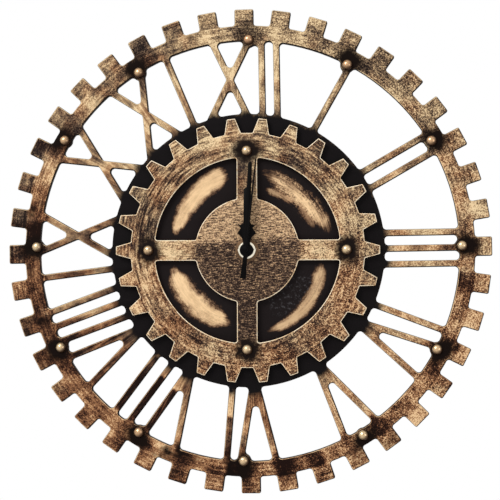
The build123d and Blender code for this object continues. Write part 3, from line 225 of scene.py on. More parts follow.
class Finish:
    """A material being made, with short ways to add and join its nodes."""

    def __init__(self, name):
        self.material = bpy.data.materials.new(name)
        self.material.use_nodes = True
        self.tree = self.material.node_tree
        self.surface = self.tree.nodes["Principled BSDF"]
        self.place = self.tree.nodes.new("ShaderNodeTexCoord").outputs["Object"]

    def feed(self, socket, value):
        """Links an output to a socket, or sets the socket to a plain value."""
        if isinstance(value, bpy.types.NodeSocket):
            self.tree.links.new(value, socket)
        else:
            socket.default_value = value

    def attribute(self, name):
        """Number that the mesh keeps for each point."""
        node = self.tree.nodes.new("ShaderNodeAttribute")
        node.attribute_name = name
        return node.outputs["Fac"]

    def math(self, operation, *values):
        """One sum of one to three values."""
        node = self.tree.nodes.new("ShaderNodeMath")
        node.operation = operation
        for socket, value in zip(node.inputs, values):
            self.feed(socket, value)
        return node.outputs[0]

    def product(self, first, *others):
        """Product of two values or more."""
        for other in others:
            first = self.math("MULTIPLY", first, other)
        return first

    def total(self, *terms):
        """Sum of pairs of a value and its weight."""
        result = 0.0
        for value, weight in terms:
            result = self.math("MULTIPLY_ADD", value, weight, result)
        return result

    def rise(self, course, value, low, high):
        """Rise from 0 at low to 1 at high, on a named course."""
        node = self.tree.nodes.new("ShaderNodeMapRange")
        node.interpolation_type = course
        for name, setting in (("Value", value), ("From Min", low), ("From Max", high)):
            self.feed(node.inputs[name], setting)
        return node.outputs["Result"]

    def smooth(self, value, low, high):
        """Soft step from 0 at low to 1 at high."""
        return self.rise("SMOOTHSTEP", value, low, high)

    def below(self, value, low, high):
        """Soft step from 1 at low to 0 at high."""
        return self.math("SUBTRACT", 1.0, self.smooth(value, low, high))

    def span(self, value, low, high):
        """Even rise from 0 at low to 1 at high."""
        return self.rise("LINEAR", value, low, high)

    def join(self, x, y, z):
        """Vector of three numbers."""
        node = self.tree.nodes.new("ShaderNodeCombineXYZ")
        for socket, value in zip(node.inputs, (x, y, z)):
            self.feed(socket, value)
        return node.outputs[0]

    def split(self, vector):
        """The three numbers of a vector."""
        node = self.tree.nodes.new("ShaderNodeSeparateXYZ")
        self.feed(node.inputs[0], vector)
        return node.outputs

    def moved(self, location, turn, size):
        """Place as seen from a location, turned about the depth axis and divided by a size."""
        node = self.tree.nodes.new("ShaderNodeMapping")
        node.vector_type = "TEXTURE"
        self.feed(node.inputs["Vector"], self.place)
        node.inputs["Location"].default_value = location
        node.inputs["Rotation"].default_value = (0, turn, 0)
        node.inputs["Scale"].default_value = size
        return node.outputs[0]

    def length(self, vector):
        """Length of a vector."""
        node = self.tree.nodes.new("ShaderNodeVectorMath")
        node.operation = "LENGTH"
        self.feed(node.inputs[0], vector)
        return node.outputs["Value"]

    def noise(self, vector, scale, detail=2.0, rough=0.5):
        """Cloudy chance about one half, read at a vector."""
        node = self.tree.nodes.new("ShaderNodeTexNoise")
        self.feed(node.inputs["Vector"], vector)
        node.inputs["Scale"].default_value = scale
        node.inputs["Detail"].default_value = detail
        node.inputs["Roughness"].default_value = rough
        return node.outputs["Fac"]

    def spots(self, scale, detail=2.0, rough=0.5):
        """Cloudy chance about one half, read at the place itself."""
        return self.noise(self.place, scale, detail, rough)

    def ramp(self, factor, *stops):
        """Colour that a factor picks from stops of a position and a colour."""
        node = self.tree.nodes.new("ShaderNodeValToRGB")
        self.feed(node.inputs[0], factor)
        elements = node.color_ramp.elements
        while len(elements) < len(stops):
            elements.new(0.5)
        for element, (position, colour) in zip(elements, stops):
            element.position = position
            element.color = colour
        return node.outputs["Color"]

    def mixed(self, kind, sockets, factor, first, second):
        """Value of some kind between two values: first at 0, second at 1."""
        node = self.tree.nodes.new("ShaderNodeMix")
        node.data_type = kind
        first_socket, second_socket, result = sockets
        for index, value in ((0, factor), (first_socket, first), (second_socket, second)):
            self.feed(node.inputs[index], value)
        return node.outputs[result]

    def mix(self, factor, first, second):
        """Colour between two colours: first at 0, second at 1."""
        return self.mixed("RGBA", MIX_COLOURS, factor, first, second)

    def blend(self, factor, first, second):
        """Number between two numbers: first at 0, second at 1."""
        return self.mixed("FLOAT", MIX_NUMBERS, factor, first, second)

    def bump(self, height, distance, strength):
        """Relief of the surface."""
        node = self.tree.nodes.new("ShaderNodeBump")
        node.inputs["Distance"].default_value = distance
        node.inputs["Strength"].default_value = strength
        self.feed(node.inputs["Height"], height)
        self.feed(self.surface.inputs["Normal"], node.outputs[0])

    def done(self, colour, roughness, metallic=0.0, specular=0.5):
        """Material with its colour and shine set."""
        self.feed(self.surface.inputs["Base Color"], colour)
        self.feed(self.surface.inputs["Roughness"], roughness)
        self.feed(self.surface.inputs["Metallic"], metallic)
        self.surface.inputs["Specular IOR Level"].default_value = specular
        return self.material

    def polar(self):
        """Place on the dial as seen from the clock axis."""
        x, _, z = self.split(self.place)
        across = self.math("SUBTRACT", x, AXIS.x)
        up = self.math("SUBTRACT", z, AXIS.z)
        radius = self.length(self.join(across, 0.0, up))
        return Polar(across, up, radius, self.math("DIVIDE", across, radius), self.math("DIVIDE", up, radius))


def solid_centres(node):
    """Centre of each separate solid of a node, from the lowest up."""
    shape = bmesh.new()
    shape.from_mesh(frame["nodes"][node].data)
    bmesh.ops.remove_doubles(shape, verts=shape.verts, dist=WELD)
    left = set(shape.verts)
    centres = []
    while left:
        island = {left.pop()}
        border = list(island)
        while border:
            reached = {e.other_vert(v) for v in border for e in v.link_edges} - island
            island |= reached
            border = list(reached)
        left -= island
        lows = Vector([min(v.co[i] for v in island) for i in range(3)])
        highs = Vector([max(v.co[i] for v in island) for i in range(3)])
        centres.append((lows + highs) / 2)
    shape.free()
    return sorted(centres, key=lambda centre: (centre.z, centre.x))


RIM_STUDS = solid_centres("rim_studs")
GEAR_STUDS = solid_centres("gear_studs")


def nearest_oval(finish, ovals, wide, tall):
    """Distance to the nearest of some ovals, each a place and a turn, as a share of its size."""
    size = (wide, 1.0, tall)
    nearest, *others = [finish.length(finish.moved(place, turn, size)) for place, turn in ovals]
    for other in others:
        nearest = finish.math("MINIMUM", nearest, other)
    return nearest


def stud_distance(finish, studs, wide, tall, outward):
    """Distance to the nearest stud, as a share of an oval that lies outward of it."""
    ovals = []
    for stud in studs:
        away = Vector((stud.x - AXIS.x, 0, stud.z - AXIS.z)).normalized()
        ovals.append((stud + away * outward, away.xz.angle_signed(Vector((0, 1)))))
    return nearest_oval(finish, ovals, wide, tall)


def stud_soot(finish, nearest, ragged):
    """Black left bare round the studs: 1 beside a stud, 0 away from it."""
    return finish.below(finish.total((nearest, 1.0), (ragged, 1.6)), 1.4, 2.2)


def painted_head_light(finish):
    """Painted light and shade on a nail head: 1 at its upper left, towards the key lamp, 0 at its lower
    right, which is painted dark as shade.
    """
    heads = [(stud + STUD_LIGHT_SPOT, 0.0) for stud in RIM_STUDS + GEAR_STUDS]
    return finish.below(nearest_oval(finish, heads, STUD_RADIUS, STUD_RADIUS), 0.35, 1.25)


def turned_angle(finish, polar, middle):
    """Angle about the clock axis from a clock angle, in radians."""
    side = finish.total((polar.across, cos(middle)), (polar.up, -sin(middle)))
    ahead = finish.total((polar.across, sin(middle)), (polar.up, cos(middle)))
    return finish.math("ARCTAN2", side, ahead)


def beside(finish, polar, angle, near, far):
    """Closeness to a clock angle: 1 within near degrees of it, 0 beyond far degrees."""
    away = finish.math("ABSOLUTE", turned_angle(finish, polar, radians(angle)))
    return finish.below(away, radians(near), radians(far))


def lightened(finish, polar, lift, places, within):
    """Lift with light and dark places round the clock added to it."""
    for angle, half, lighter in places:
        near = beside(finish, polar, angle, half * 0.3, half * 1.7)
        lift = finish.total((lift, 1.0), (finish.product(near, within), lighter))
    return lift


def brush_stroke(finish, polar, stroke):
    """Cover of one stroke of a loaded brush on the disc, along an arc about the clock axis."""
    ragged = stroke.ragged
    half = stroke.half
    turn = turned_angle(finish, polar, radians((stroke.start + stroke.end) / 2))
    along = finish.math("DIVIDE", turn, radians(stroke.end - stroke.start) / 2)
    bent = finish.product(along, along)
    bristles = finish.noise(finish.join(finish.product(polar.radius, 900), along, 0.0), 1.0, 3.0)
    tufts = finish.noise(finish.join(finish.product(polar.radius, 480), along, 3.0), 1.0, 3.0)
    edge = finish.spots(150, 3.0, 0.6)
    speck = finish.spots(900, 2.0, 0.7)
    path = finish.total(
        (along, (stroke.end_radius - stroke.start_radius) / 2),
        (bent, stroke.bow),
        (1.0, (stroke.start_radius + stroke.end_radius) / 2 - stroke.bow),
    )
    width = finish.total((1.0, half), (along, half * stroke.widening), (bent, -half * stroke.narrowing))
    aside = finish.math("ABSOLUTE", finish.math("SUBTRACT", polar.radius, path))
    aside = finish.math("DIVIDE", aside, width)
    off = finish.total(
        (aside, 1.0),
        (edge, 0.8 + 1.2 * ragged),
        (bristles, 1.6 * ragged),
        (speck, 2.4 * ragged),
    )
    middle = 1.45 + 2.5 * ragged
    feather = 0.36 + 0.45 * ragged
    sides = finish.below(off, middle - feather, middle + feather)
    ends = finish.total(
        (finish.math("ABSOLUTE", along), 1.0),
        (bristles, 0.1 + 0.3 * ragged),
        (edge, 0.4),
        (finish.product(aside, aside), 0.12),
    )
    tip = 1.09 + 0.04 * ragged
    inside = finish.below(ends, tip, tip + 0.15 + 0.25 * ragged)
    loaded = finish.smooth(finish.total((tufts, 0.7), (speck, 0.3)), 0.34, 0.48)
    worn = 0.7 * ragged
    cover = finish.total((1.0, stroke.cover * (1 - worn)), (loaded, stroke.cover * worn))
    return finish.product(sides, inside, cover)


class Brushwork:
    """Patchy noises of the dry-brushed bronze, at the sizes seen on the clock."""

    def __init__(self, finish, polar):
        run = finish.join(
            finish.product(polar.radius, 520),
            finish.product(polar.sine, 5),
            finish.product(polar.cosine, 5),
        )
        self.cloud = finish.noise(finish.moved(CLOUD_PLACE, 0.0, (1, 1, 1)), 27, 3.0, 0.55)
        self.blotch = finish.spots(95, 3.0, 0.6)
        self.mottle = finish.spots(270, 3.0, 0.65)
        self.grain = finish.spots(1000, 2.0, 0.7)
        self.streak = finish.noise(run, 1.0, 5.0, 0.72)
        self.hue = finish.total((finish.spots(45, 3.0, 0.6), 1.0), (polar.up, 0.9))

    def ragged(self, finish):
        """Unevenness of the outline of a sooty place."""
        return finish.total((self.blotch, 0.5), (self.mottle, 0.5))


def bronze_colour(finish, brush, lift, patches, mottles, grains, streaks):
    """Bronze between the bare black pores and the rubbed heights, lightened by lift."""
    raw = finish.total(
        (brush.cloud, patches),
        (brush.blotch, patches),
        (brush.mottle, mottles),
        (brush.grain, grains),
        (brush.streak, streaks),
        (lift, 1.0),
    )
    middle = patches + (mottles + grains + streaks) / 2
    tone = finish.span(raw, middle - 0.4, middle + 0.4)
    tones = []
    for colours in (WARM_TONES, OLIVE_TONES):
        last = len(colours) - 1
        tones.append(finish.ramp(tone, *[(index / last, paint(*rgb)) for index, rgb in enumerate(colours)]))
    return finish.mix(finish.smooth(brush.hue, 0.3, 0.7), *tones)


class BoardZones:
    """Parts of the dial board that are painted differently, each from 0 to 1."""

    def __init__(self, finish, polar):
        self.bars = finish.below(polar.radius, RIM_INNER - 8 * MM, RIM_INNER - 2 * MM)
        self.teeth = finish.smooth(polar.radius, RIM_ROOT - 1 * MM, RIM_ROOT + 3 * MM)
        self.rim = finish.total((1.0, 1.0), (self.bars, -1.0), (self.teeth, -0.8))
        self.left = finish.below(polar.sine, -0.6, 0.6)
        self.top = finish.smooth(polar.cosine, 0.9, 0.98)
        self.lower_left = finish.smooth(finish.total((polar.sine, -0.85), (polar.cosine, -0.53)), 0.7, 0.95)
        self.window = finish.below(polar.radius, WINDOW_RADIUS, WINDOW_RADIUS + 4 * MM)


def settle_board(finish, polar, brush, zones):
    """Turns the streaks along the bars, calms the smoother places and shifts the hue of the rim."""
    ray = finish.join(finish.product(polar.sine, 110), finish.product(polar.radius, 25), polar.cosine)
    brush.streak = finish.blend(zones.bars, brush.streak, finish.noise(ray, 1.0, 4.0, 0.65))
    calm = finish.total((zones.bars, 0.7), (zones.teeth, -0.3), (1.0, 0.5))
    brush.mottle = finish.blend(calm, brush.mottle, 0.5)
    softer = finish.total((zones.left, 0.4), (zones.bars, 0.4))
    brush.grain = finish.blend(softer, brush.grain, 0.5)
    olive = finish.total((polar.up, 0.9), (zones.left, -0.1), (1.0, -0.1))
    brush.hue = finish.math("ADD", brush.hue, finish.product(zones.rim, olive))


def board_lift(finish, polar, zones, nearest):
    """How much lighter the bronze of the dial board is from place to place."""
    upward = finish.total((1.0, 0.5), (zones.bars, -0.3), (zones.teeth, -0.7))
    sideways = finish.total((1.0, 0.3), (zones.bars, 0.2), (zones.teeth, 0.4))
    lift = finish.total(
        (finish.product(upward, polar.up), 1.0),
        (finish.product(sideways, polar.across), 1.0),
        (zones.bars, 0.07),
        (zones.teeth, -0.02),
        (finish.product(zones.lower_left, zones.bars), -0.14),
        (finish.below(nearest, 0.8, 2.4), -0.2),
        (1.0, 0.04),
    )
    for angle, half, start in BURNT_BARS:
        near = finish.product(beside(finish, polar, angle, half, half + 0.5), zones.bars)
        burnt = finish.span(polar.radius, start - 1 * MM, start + 1 * MM)
        burnt = finish.total((burnt, -0.62), (near, 0.3))
        lift = finish.math("MULTIPLY_ADD", near, burnt, lift)
    lift = lightened(finish, polar, lift, RIM_PLACES, zones.rim)
    return lightened(finish, polar, lift, TEETH_PLACES, zones.teeth)


def sooted_board(finish, polar, brush, zones, nearest, colour):
    """Colour with the bare patches of the rim and the soot round its studs over it."""
    patches = finish.total(
        (finish.spots(38, 3.0, 0.6), 1.0),
        (brush.grain, 0.25),
        (polar.up, -0.35),
        (polar.across, -0.3),
    )
    patchy = finish.total((1.0, 1.0), (zones.bars, -1.0), (zones.teeth, -0.6))
    colour = finish.mix(finish.product(finish.smooth(patches, 0.73, 0.85), patchy), colour, SOOT)
    soot = stud_soot(finish, nearest, brush.ragged(finish))
    strength = finish.total((1.0, 1.0), (zones.top, -0.5))
    return finish.mix(finish.product(soot, strength), colour, SOOT)


def disc_over(finish, polar, brush, zones, colour):
    """Colour with the black disc over it, paler in the windows with dust and painted sheen, and scuffed in
    one of them.
    """
    # Paler black in the windows: dust and painted sheen
    dust = finish.mix(zones.window, paint(24, 20, 21), paint(38, 31, 31))
    black = finish.mix(brush.grain, DISC_BLACK, dust)
    foot = finish.total((polar.radius, 1.0), (brush.blotch, -16 * MM), (polar.up, 0.02))
    colour = finish.mix(finish.below(foot, DISC_RADIUS - 8 * MM, DISC_RADIUS + 1 * MM), colour, black)
    scuffs = finish.smooth(finish.spots(340, 5.0, 0.8), 0.52, 0.68)
    by_hub = finish.below(polar.radius, HUB_RADIUS + 16 * MM, HUB_RADIUS + 20 * MM)
    scuffs = finish.product(scuffs, beside(finish, polar, *SCUFFS), by_hub, 0.6)
    return finish.mix(scuffs, colour, paint(96, 94, 96))


def strokes_over(finish, polar, drag, colour):
    """Colour with the strokes of pale paint over it, browner where the paint is thin."""
    pale = finish.mix(finish.span(drag, 0.2, 0.56), TAN, CREAM)
    for stroke in STROKES:
        cover = brush_stroke(finish, polar, stroke)
        colour = finish.mix(cover, colour, finish.mix(cover, THIN_PAINT, pale))
    return colour


def board_paint():
    """Front of the dial board: bronze on the rim and the numerals, black on the disc with pale strokes."""
    finish = Finish("board_paint")
    polar = finish.polar()
    zones = BoardZones(finish, polar)
    brush = Brushwork(finish, polar)
    drag = finish.total((brush.streak, 0.6), (brush.blotch, 0.4))
    settle_board(finish, polar, brush, zones)
    nearest = stud_distance(finish, RIM_STUDS, *RIM_SOOT)
    lift = board_lift(finish, polar, zones, nearest)
    colour = bronze_colour(finish, brush, lift, 1.0, 0.7, 2.4, 1.3)
    colour = sooted_board(finish, polar, brush, zones, nearest, colour)
    colour = disc_over(finish, polar, brush, zones, colour)
    colour = strokes_over(finish, polar, drag, colour)
    finish.bump(finish.total((brush.grain, 0.6), (brush.blotch, 1.0)), 0.25 * MM, 0.5)
    return finish.done(colour, 0.6, 0.0, 0.04)


class GearZones:
    """Parts of the gear plate that are painted differently, each from 0 to 1."""

    def __init__(self, finish, polar):
        inside = finish.below(polar.radius, WINDOW_RADIUS - 3 * MM, WINDOW_RADIUS + 3 * MM)
        level = finish.below(finish.math("ABSOLUTE", polar.up), 9 * MM, 12 * MM)
        high = finish.smooth(polar.up, HUB_RADIUS - 6 * MM, HUB_RADIUS + 4 * MM)
        low = finish.below(polar.up, -HUB_RADIUS - 1 * MM, -HUB_RADIUS + 5 * MM)
        hub = finish.below(polar.radius, HUB_RADIUS - 2 * MM, HUB_RADIUS + 5 * MM)
        self.ring = finish.smooth(polar.radius, WINDOW_RADIUS - 2 * MM, WINDOW_RADIUS + 2 * MM)
        self.side_spokes = finish.product(inside, level)
        self.top_spoke = finish.product(inside, high)
        self.low_spoke = finish.product(inside, low)
        self.dull = finish.math("MAXIMUM", hub, self.low_spoke)


def hub_colour(finish, polar, brush, zones, wipe, fine):
    """Dull bronze of the hub and the low spoke, wiped level and lit above the middle."""
    above = finish.total((polar.up, 1.0), (polar.across, -0.05), (brush.blotch, 9 * MM))
    tone = finish.total(
        (wipe, 2.6),
        (fine, 1.4),
        (brush.cloud, 0.2),
        (finish.smooth(above, 8 * MM, 16 * MM), 0.28),
        (zones.low_spoke, -0.06),
    )
    return finish.ramp(
        finish.span(tone, 2.0, 2.56),
        (0.0, paint(34, 24, 20)),
        (0.3, paint(84, 66, 56)),
        (0.55, paint(138, 108, 82)),
        (0.75, paint(178, 144, 108)),
        (1.0, paint(222, 188, 146)),
    )


def gear_paint():
    """Front of the gear plate: bronze brushed along the ring and level across the hub and the side spokes."""
    finish = Finish("gear_paint")
    polar = finish.polar()
    zones = GearZones(finish, polar)
    brush = Brushwork(finish, polar)
    fine = brush.grain
    wipe = finish.join(finish.product(polar.across, 170), 0.0, finish.product(polar.up, 1100))
    wipe = finish.noise(wipe, 1.0, 5.0, 0.75)
    upper_left = finish.total((polar.sine, -0.7), (polar.cosine, 0.7))
    swept = finish.span(upper_left, -0.7, 0.7)
    strength = finish.total((swept, 0.4), (zones.side_spokes, 0.4), (zones.top_spoke, -0.7), (1.0, 0.6))
    brush.streak = finish.blend(zones.side_spokes, brush.streak, wipe)
    brush.streak = finish.blend(strength, 0.5, brush.streak)
    brush.grain = finish.blend(finish.product(swept, 0.4), fine, 0.5)
    lift = finish.total(
        (polar.radius, 1.2),
        (finish.smooth(upper_left, 0.4, 1.0), 0.1),
        (zones.side_spokes, 0.26),
        # The top spoke is a little darker as painted shadow of the hands
        (zones.top_spoke, -0.05),
        (1.0, -0.14),
    )
    lift = lightened(finish, polar, lift, RING_PLACES, zones.ring)
    colour = bronze_colour(finish, brush, lift, 0.85, 0.5, 2.6, 2.6)
    colour = finish.mix(zones.dull, colour, hub_colour(finish, polar, brush, zones, wipe, fine))
    ragged = brush.ragged(finish)
    from_top = finish.length(finish.moved(GEAR_STUDS[-1] + SMEAR_SHIFT, 0.0, SMEAR_SIZE))
    smear = finish.below(finish.total((from_top, 1.0), (ragged, 0.8), (fine, 0.5)), 1.1, 2.0)
    colour = finish.mix(finish.product(smear, 0.9), colour, SMEAR)
    nearest = stud_distance(finish, GEAR_STUDS, *GEAR_SOOT)
    colour = finish.mix(stud_soot(finish, nearest, ragged), colour, SOOT)
    finish.bump(finish.total((brush.grain, 0.6), (wipe, 0.4), (brush.blotch, 0.8)), 0.25 * MM, 0.5)
    return finish.done(colour, 0.55, 0.0, 0.06)


def worn_edge():
    """Rubbed front edge of the gear plate, where the bronze is palest."""
    finish = Finish("worn_edge")
    patches = finish.spots(110, 4.0, 0.65)
    rub = finish.total((patches, 0.6), (finish.spots(800), 0.5))
    colour = finish.ramp(
        rub,
        (0.34, paint(150, 118, 88)),
        (0.4, TAN),
        (0.48, CREAM),
        (0.58, paint(255, 238, 208)),
    )
    return finish.done(colour, 0.5, 0.0, 0.15)


def rim_edge():
    """Lit edge of the rim and the numerals: bronze, with the black base showing in places."""
    finish = Finish("rim_edge")
    polar = finish.polar()
    brush = Brushwork(finish, polar)
    lift = finish.total((polar.up, 0.2), (1.0, 0.36))
    colour = bronze_colour(finish, brush, lift, 0.8, 0.6, 0.4, 0.2)
    foot = finish.below(polar.radius, DISC_RADIUS + 2 * MM, DISC_RADIUS + 9 * MM)
    colour = finish.mix(foot, colour, DISC_BLACK)
    nearest = stud_distance(finish, RIM_STUDS, *RIM_SOOT)
    colour = finish.mix(stud_soot(finish, nearest, brush.ragged(finish)), colour, SOOT)
    return finish.done(colour, 0.55, 0.0, 0.08)


def shaded_edge():
    """Steep edge and edge turned from the key lamp: the bare black base coat with some bronze caught on it,
    put there as painted shade.
    """
    finish = Finish("shaded_edge")
    caught = finish.smooth(finish.spots(160, 4.0, 0.7), 0.56, 0.7)
    colour = finish.mix(finish.product(caught, 0.6), SOOT, paint(96, 72, 54))
    return finish.done(colour, 0.6, 0.0, 0.06)


def cut_wall():
    """Sawn wall of the boards under the black base coat, with bronze caught on it."""
    finish = Finish("cut_wall")
    fibre = finish.spots(600, 3.0, 0.6)
    splash = finish.smooth(finish.spots(60, 4.0, 0.6), 0.58, 0.72)
    colour = finish.mix(fibre, paint(16, 12, 11), paint(40, 30, 25))
    colour = finish.mix(finish.product(splash, 0.45), colour, paint(*WARM_TONES[2]))
    finish.bump(fibre, 0.2 * MM, 0.5)
    return finish.done(colour, 0.7, 0.0, 0.1)


def raw_back():
    """Bare fibreboard back with black overspray."""
    finish = Finish("raw_back")
    polar = finish.polar()
    fibre = finish.spots(700, 4.0, 0.7)
    fleck = finish.spots(160, 5.0, 0.7)
    colour = finish.mix(finish.total((fibre, 0.6), (fleck, 0.4)), paint(74, 56, 42), paint(122, 96, 72))
    drift = finish.spots(45, 4.0, 0.6)
    spray = finish.smooth(finish.total((drift, 1.0), (polar.radius, 2.0)), 0.72, 1.0)
    colour = finish.mix(spray, colour, paint(30, 25, 23))
    finish.bump(fibre, 0.15 * MM, 0.5)
    return finish.done(colour, 0.85, 0.0, 0.2)


def brushed_metal(name, dark, light, roughness):
    """Turned or plated metal with fine rings round the clock axis and a little tarnish."""
    finish = Finish(name)
    polar = finish.polar()
    rings = finish.noise(finish.join(finish.product(polar.radius, 2600), 0.0, 0.0), 1.0, 2.0)
    tarnish = finish.spots(320, 4.0, 0.6)
    colour = finish.mix(finish.total((rings, 0.4), (tarnish, 0.6)), dark, light)
    finish.bump(rings, 0.02 * MM, 0.35)
    return finish.done(colour, finish.math("MULTIPLY_ADD", tarnish, 0.14, roughness), 1.0)


def stud_brass():
    """Domed brass of the nail heads, each a little different, with painted shade at the skirt and the lower
    right and painted light at the upper left.
    """
    finish = Finish("stud_brass")
    brass = finish.ramp(
        finish.attribute("tint"),
        (0.0, paint(192, 146, 108)),
        (0.4, paint(202, 166, 126)),
        (1.0, paint(218, 192, 152)),
    )
    pits = finish.spots(900, 3.0, 0.6)
    colour = finish.mix(finish.smooth(pits, 0.55, 0.72), brass, paint(96, 64, 40))
    # Painted shade round the skirt of each head, darkest where it is lowest
    colour = finish.mix(finish.smooth(finish.attribute("rise"), 0.0, 0.45), paint(64, 43, 29), colour)
    # Painted shade on the lower right of each head, painted light on its upper left
    colour = finish.mix(painted_head_light(finish), paint(62, 40, 24), colour)
    finish.bump(pits, 0.08 * MM, 0.4)
    return finish.done(colour, finish.math("MULTIPLY_ADD", pits, 0.15, 0.18), 0.75)


def moulded(name, dark, light, grain_size=1800.0, roughness=0.45):
    """Moulded plastic with a fine spark grain."""
    finish = Finish(name)
    grain = finish.spots(grain_size, 2.0, 0.6)
    flow = finish.spots(70, 3.0)
    colour = finish.mix(finish.total((grain, 0.5), (flow, 0.5)), dark, light)
    finish.bump(grain, 0.05 * MM, 0.5)
    return finish.done(colour, finish.math("MULTIPLY_ADD", flow, 0.15, roughness), 0.0, 0.4)


def hand_black():
    """Satin black lacquer of the hands, with faint dust."""
    finish = Finish("hand_black")
    dust = finish.smooth(finish.spots(900, 4.0, 0.7), 0.6, 0.8)
    colour = finish.mix(dust, paint(4, 3, 3), paint(14, 12, 11))
    finish.bump(finish.spots(2200, 2.0), 0.01 * MM, 0.3)
    return finish.done(colour, finish.math("MULTIPLY_ADD", dust, 0.2, 0.42), 0.0, 0.05)


def steel_strip(name, dark, light, roughness):
    """Plated sheet metal with a drawn grain."""
    finish = Finish(name)
    x, y, z = finish.split(finish.place)
    drawn = finish.join(finish.product(x, 300), finish.product(y, 300), finish.product(z, 4000))
    grain = finish.noise(drawn, 1.0, 3.0)
    colour = finish.mix(grain, dark, light)
    finish.bump(grain, 0.01 * MM, 0.4)
    return finish.done(colour, finish.math("MULTIPLY_ADD", grain, 0.2, roughness), 1.0)


def copper_wire():
    """Enamelled winding: fine turns along the coil, darker in the grooves between them as painted shade."""
    finish = Finish("copper_wire")
    _, _, z = finish.split(finish.place)
    pitch = 0.12 * MM
    turns = finish.math("SINE", finish.product(z, 2 * pi / pitch))
    # Dark in the grooves between turns: painted shade
    colour = finish.mix(finish.smooth(turns, -1.0, 1.0), paint(96, 44, 22), paint(196, 110, 66))
    finish.bump(turns, 0.03 * MM, 0.8)
    return finish.done(colour, 0.3, 0.9)


def circuit_laminate():
    """Green solder mask with paler tracks."""
    finish = Finish("circuit_laminate")
    x, _, z = finish.split(finish.place)
    pitch = 1.4 * MM
    track = finish.math("SINE", finish.product(finish.math("ADD", x, z), 2 * pi / pitch))
    colour = finish.mix(finish.smooth(track, 0.5, 0.7), paint(22, 74, 40), paint(48, 116, 70))
    weave = finish.spots(1500, 2.0)
    finish.bump(weave, 0.02 * MM, 0.4)
    return finish.done(colour, finish.math("MULTIPLY_ADD", weave, 0.15, 0.35))


def battery_wrap():
    """Plain dark wrap with a pale band at the positive end, and bare metal at both ends."""
    finish = Finish("battery_wrap")
    low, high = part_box("battery")
    x, _, _ = finish.split(finish.place)
    grain = finish.spots(1100, 2.0)
    wrap = finish.mix(grain, paint(34, 38, 46), paint(50, 54, 62))
    band = finish.mix(grain, paint(176, 178, 182), paint(196, 198, 202))
    colour = finish.mix(finish.math("GREATER_THAN", x, high.x - 11 * MM), wrap, band)
    near_nub = finish.math("GREATER_THAN", x, high.x - 1.9 * MM)
    near_base = finish.math("LESS_THAN", x, low.x + 0.5 * MM)
    bare = finish.math("MAXIMUM", near_nub, near_base)
    colour = finish.mix(bare, colour, paint(206, 204, 200))
    finish.bump(grain, 0.01 * MM, 0.3)
    return finish.done(colour, finish.math("MULTIPLY_ADD", grain, 0.12, 0.3), bare)


def new_object(name, data):
    """Object in the scene that holds a mesh, a curve, a lamp or a camera."""
    holder = bpy.data.objects.new(name, data)
    bpy.context.scene.collection.objects.link(holder)
    return holder


def add_piece(name, mesh, body, slot, *nodes):
    """Puts a finished mesh in the scene, riding on a body in place of some nodes."""
    piece = new_object(name, mesh)
    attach(piece, body)
    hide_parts(*nodes)


def front_outlines(nodes):
    """Closed outlines of the joined front faces of some nodes, as points seen from the front."""
    shape = bmesh.new()
    for node in nodes:
        shape.from_mesh(frame["nodes"][node].data)
    front = min(v.co.y for v in shape.verts)
    bmesh.ops.delete(shape, geom=[v for v in shape.verts if v.co.y > front + WELD], context="VERTS")
    bmesh.ops.remove_doubles(shape, verts=shape.verts, dist=WELD)
    bmesh.ops.holes_fill(shape, edges=[e for e in shape.edges if e.is_boundary], sides=SEAM_SIDES)
    rims = {e for e in shape.edges if e.is_boundary}
    outlines = []
    while rims:
        first = rims.pop()
        start, here = first.verts
        outline = [start.co.xz, here.co.xz]
        while True:
            onward = next((e for e in here.link_edges if e in rims), None)
            if onward is None:
                break
            rims.discard(onward)
            here = onward.other_vert(here)
            if here is start:
                break
            outline.append(here.co.xz)
        outlines.append(outline)
    shape.free()
    return outlines


def evaluated_mesh(holder):
    """Plain mesh of an object as its curve or its modifiers make it."""
    return bpy.data.meshes.new_from_object(holder.evaluated_get(bpy.context.evaluated_depsgraph_get()))


def sheet_finish(normal):
    """Which finish of a sheet a face gets, from the way it looks."""
    facing = -normal.y
    if facing > FRONT_FACING:
        return FRONT
    if facing > EDGE_FACING:
        # Steep faces and faces turned from the key lamp get the dark edge as painted shade, the others get
        # the lit edge
        bare = facing < STEEP_FACING or normal.dot(SHADE_SIDE) > SHADE_SIDE_FACING
        return PAINTED_SHADE_EDGE if bare else LIT_EDGE
    return WALL if facing > -FRONT_FACING else BACK


def cut_sheet(name, outlines, rear, front, edge, finishes):
    """Sheet cut to closed outlines, with rounded edges, painted front, edges, wall and back."""
    curve = bpy.data.curves.new(name, "CURVE")
    curve.dimensions = "2D"
    curve.fill_mode = "BOTH"
    curve.extrude = (rear - front) / 2 - edge
    curve.bevel_depth = edge
    curve.bevel_resolution = SHEET_STEPS
    curve.offset = -edge
    for outline in outlines:
        spline = curve.splines.new("POLY")
        spline.points.add(len(outline) - 1)
        for point, place in zip(spline.points, outline):
            point.co = (place.x, place.y, 0, 1)
        spline.use_cyclic_u = True
    pattern = new_object(name, curve)
    mesh = evaluated_mesh(pattern)
    bpy.data.objects.remove(pattern)
    mesh.transform(Matrix.Translation((0, (rear + front) / 2, 0)) @ Matrix.Rotation(pi / 2, 4, "X"))
    mesh.materials.clear()
    for finish in finishes:
        mesh.materials.append(finish)
    shape = bmesh.new()
    shape.from_mesh(mesh)
    bmesh.ops.remove_doubles(shape, verts=shape.verts, dist=MERGE)
    bmesh.ops.recalc_face_normals(shape, faces=shape.faces)
    for face in shape.faces:
        face.material_index = sheet_finish(face.normal)
    shape.to_mesh(mesh)
    shape.free()
    mesh.shade_smooth()
    mesh.set_sharp_from_angle(angle=SHEET_CREASE)
    mesh.name = name
    return mesh


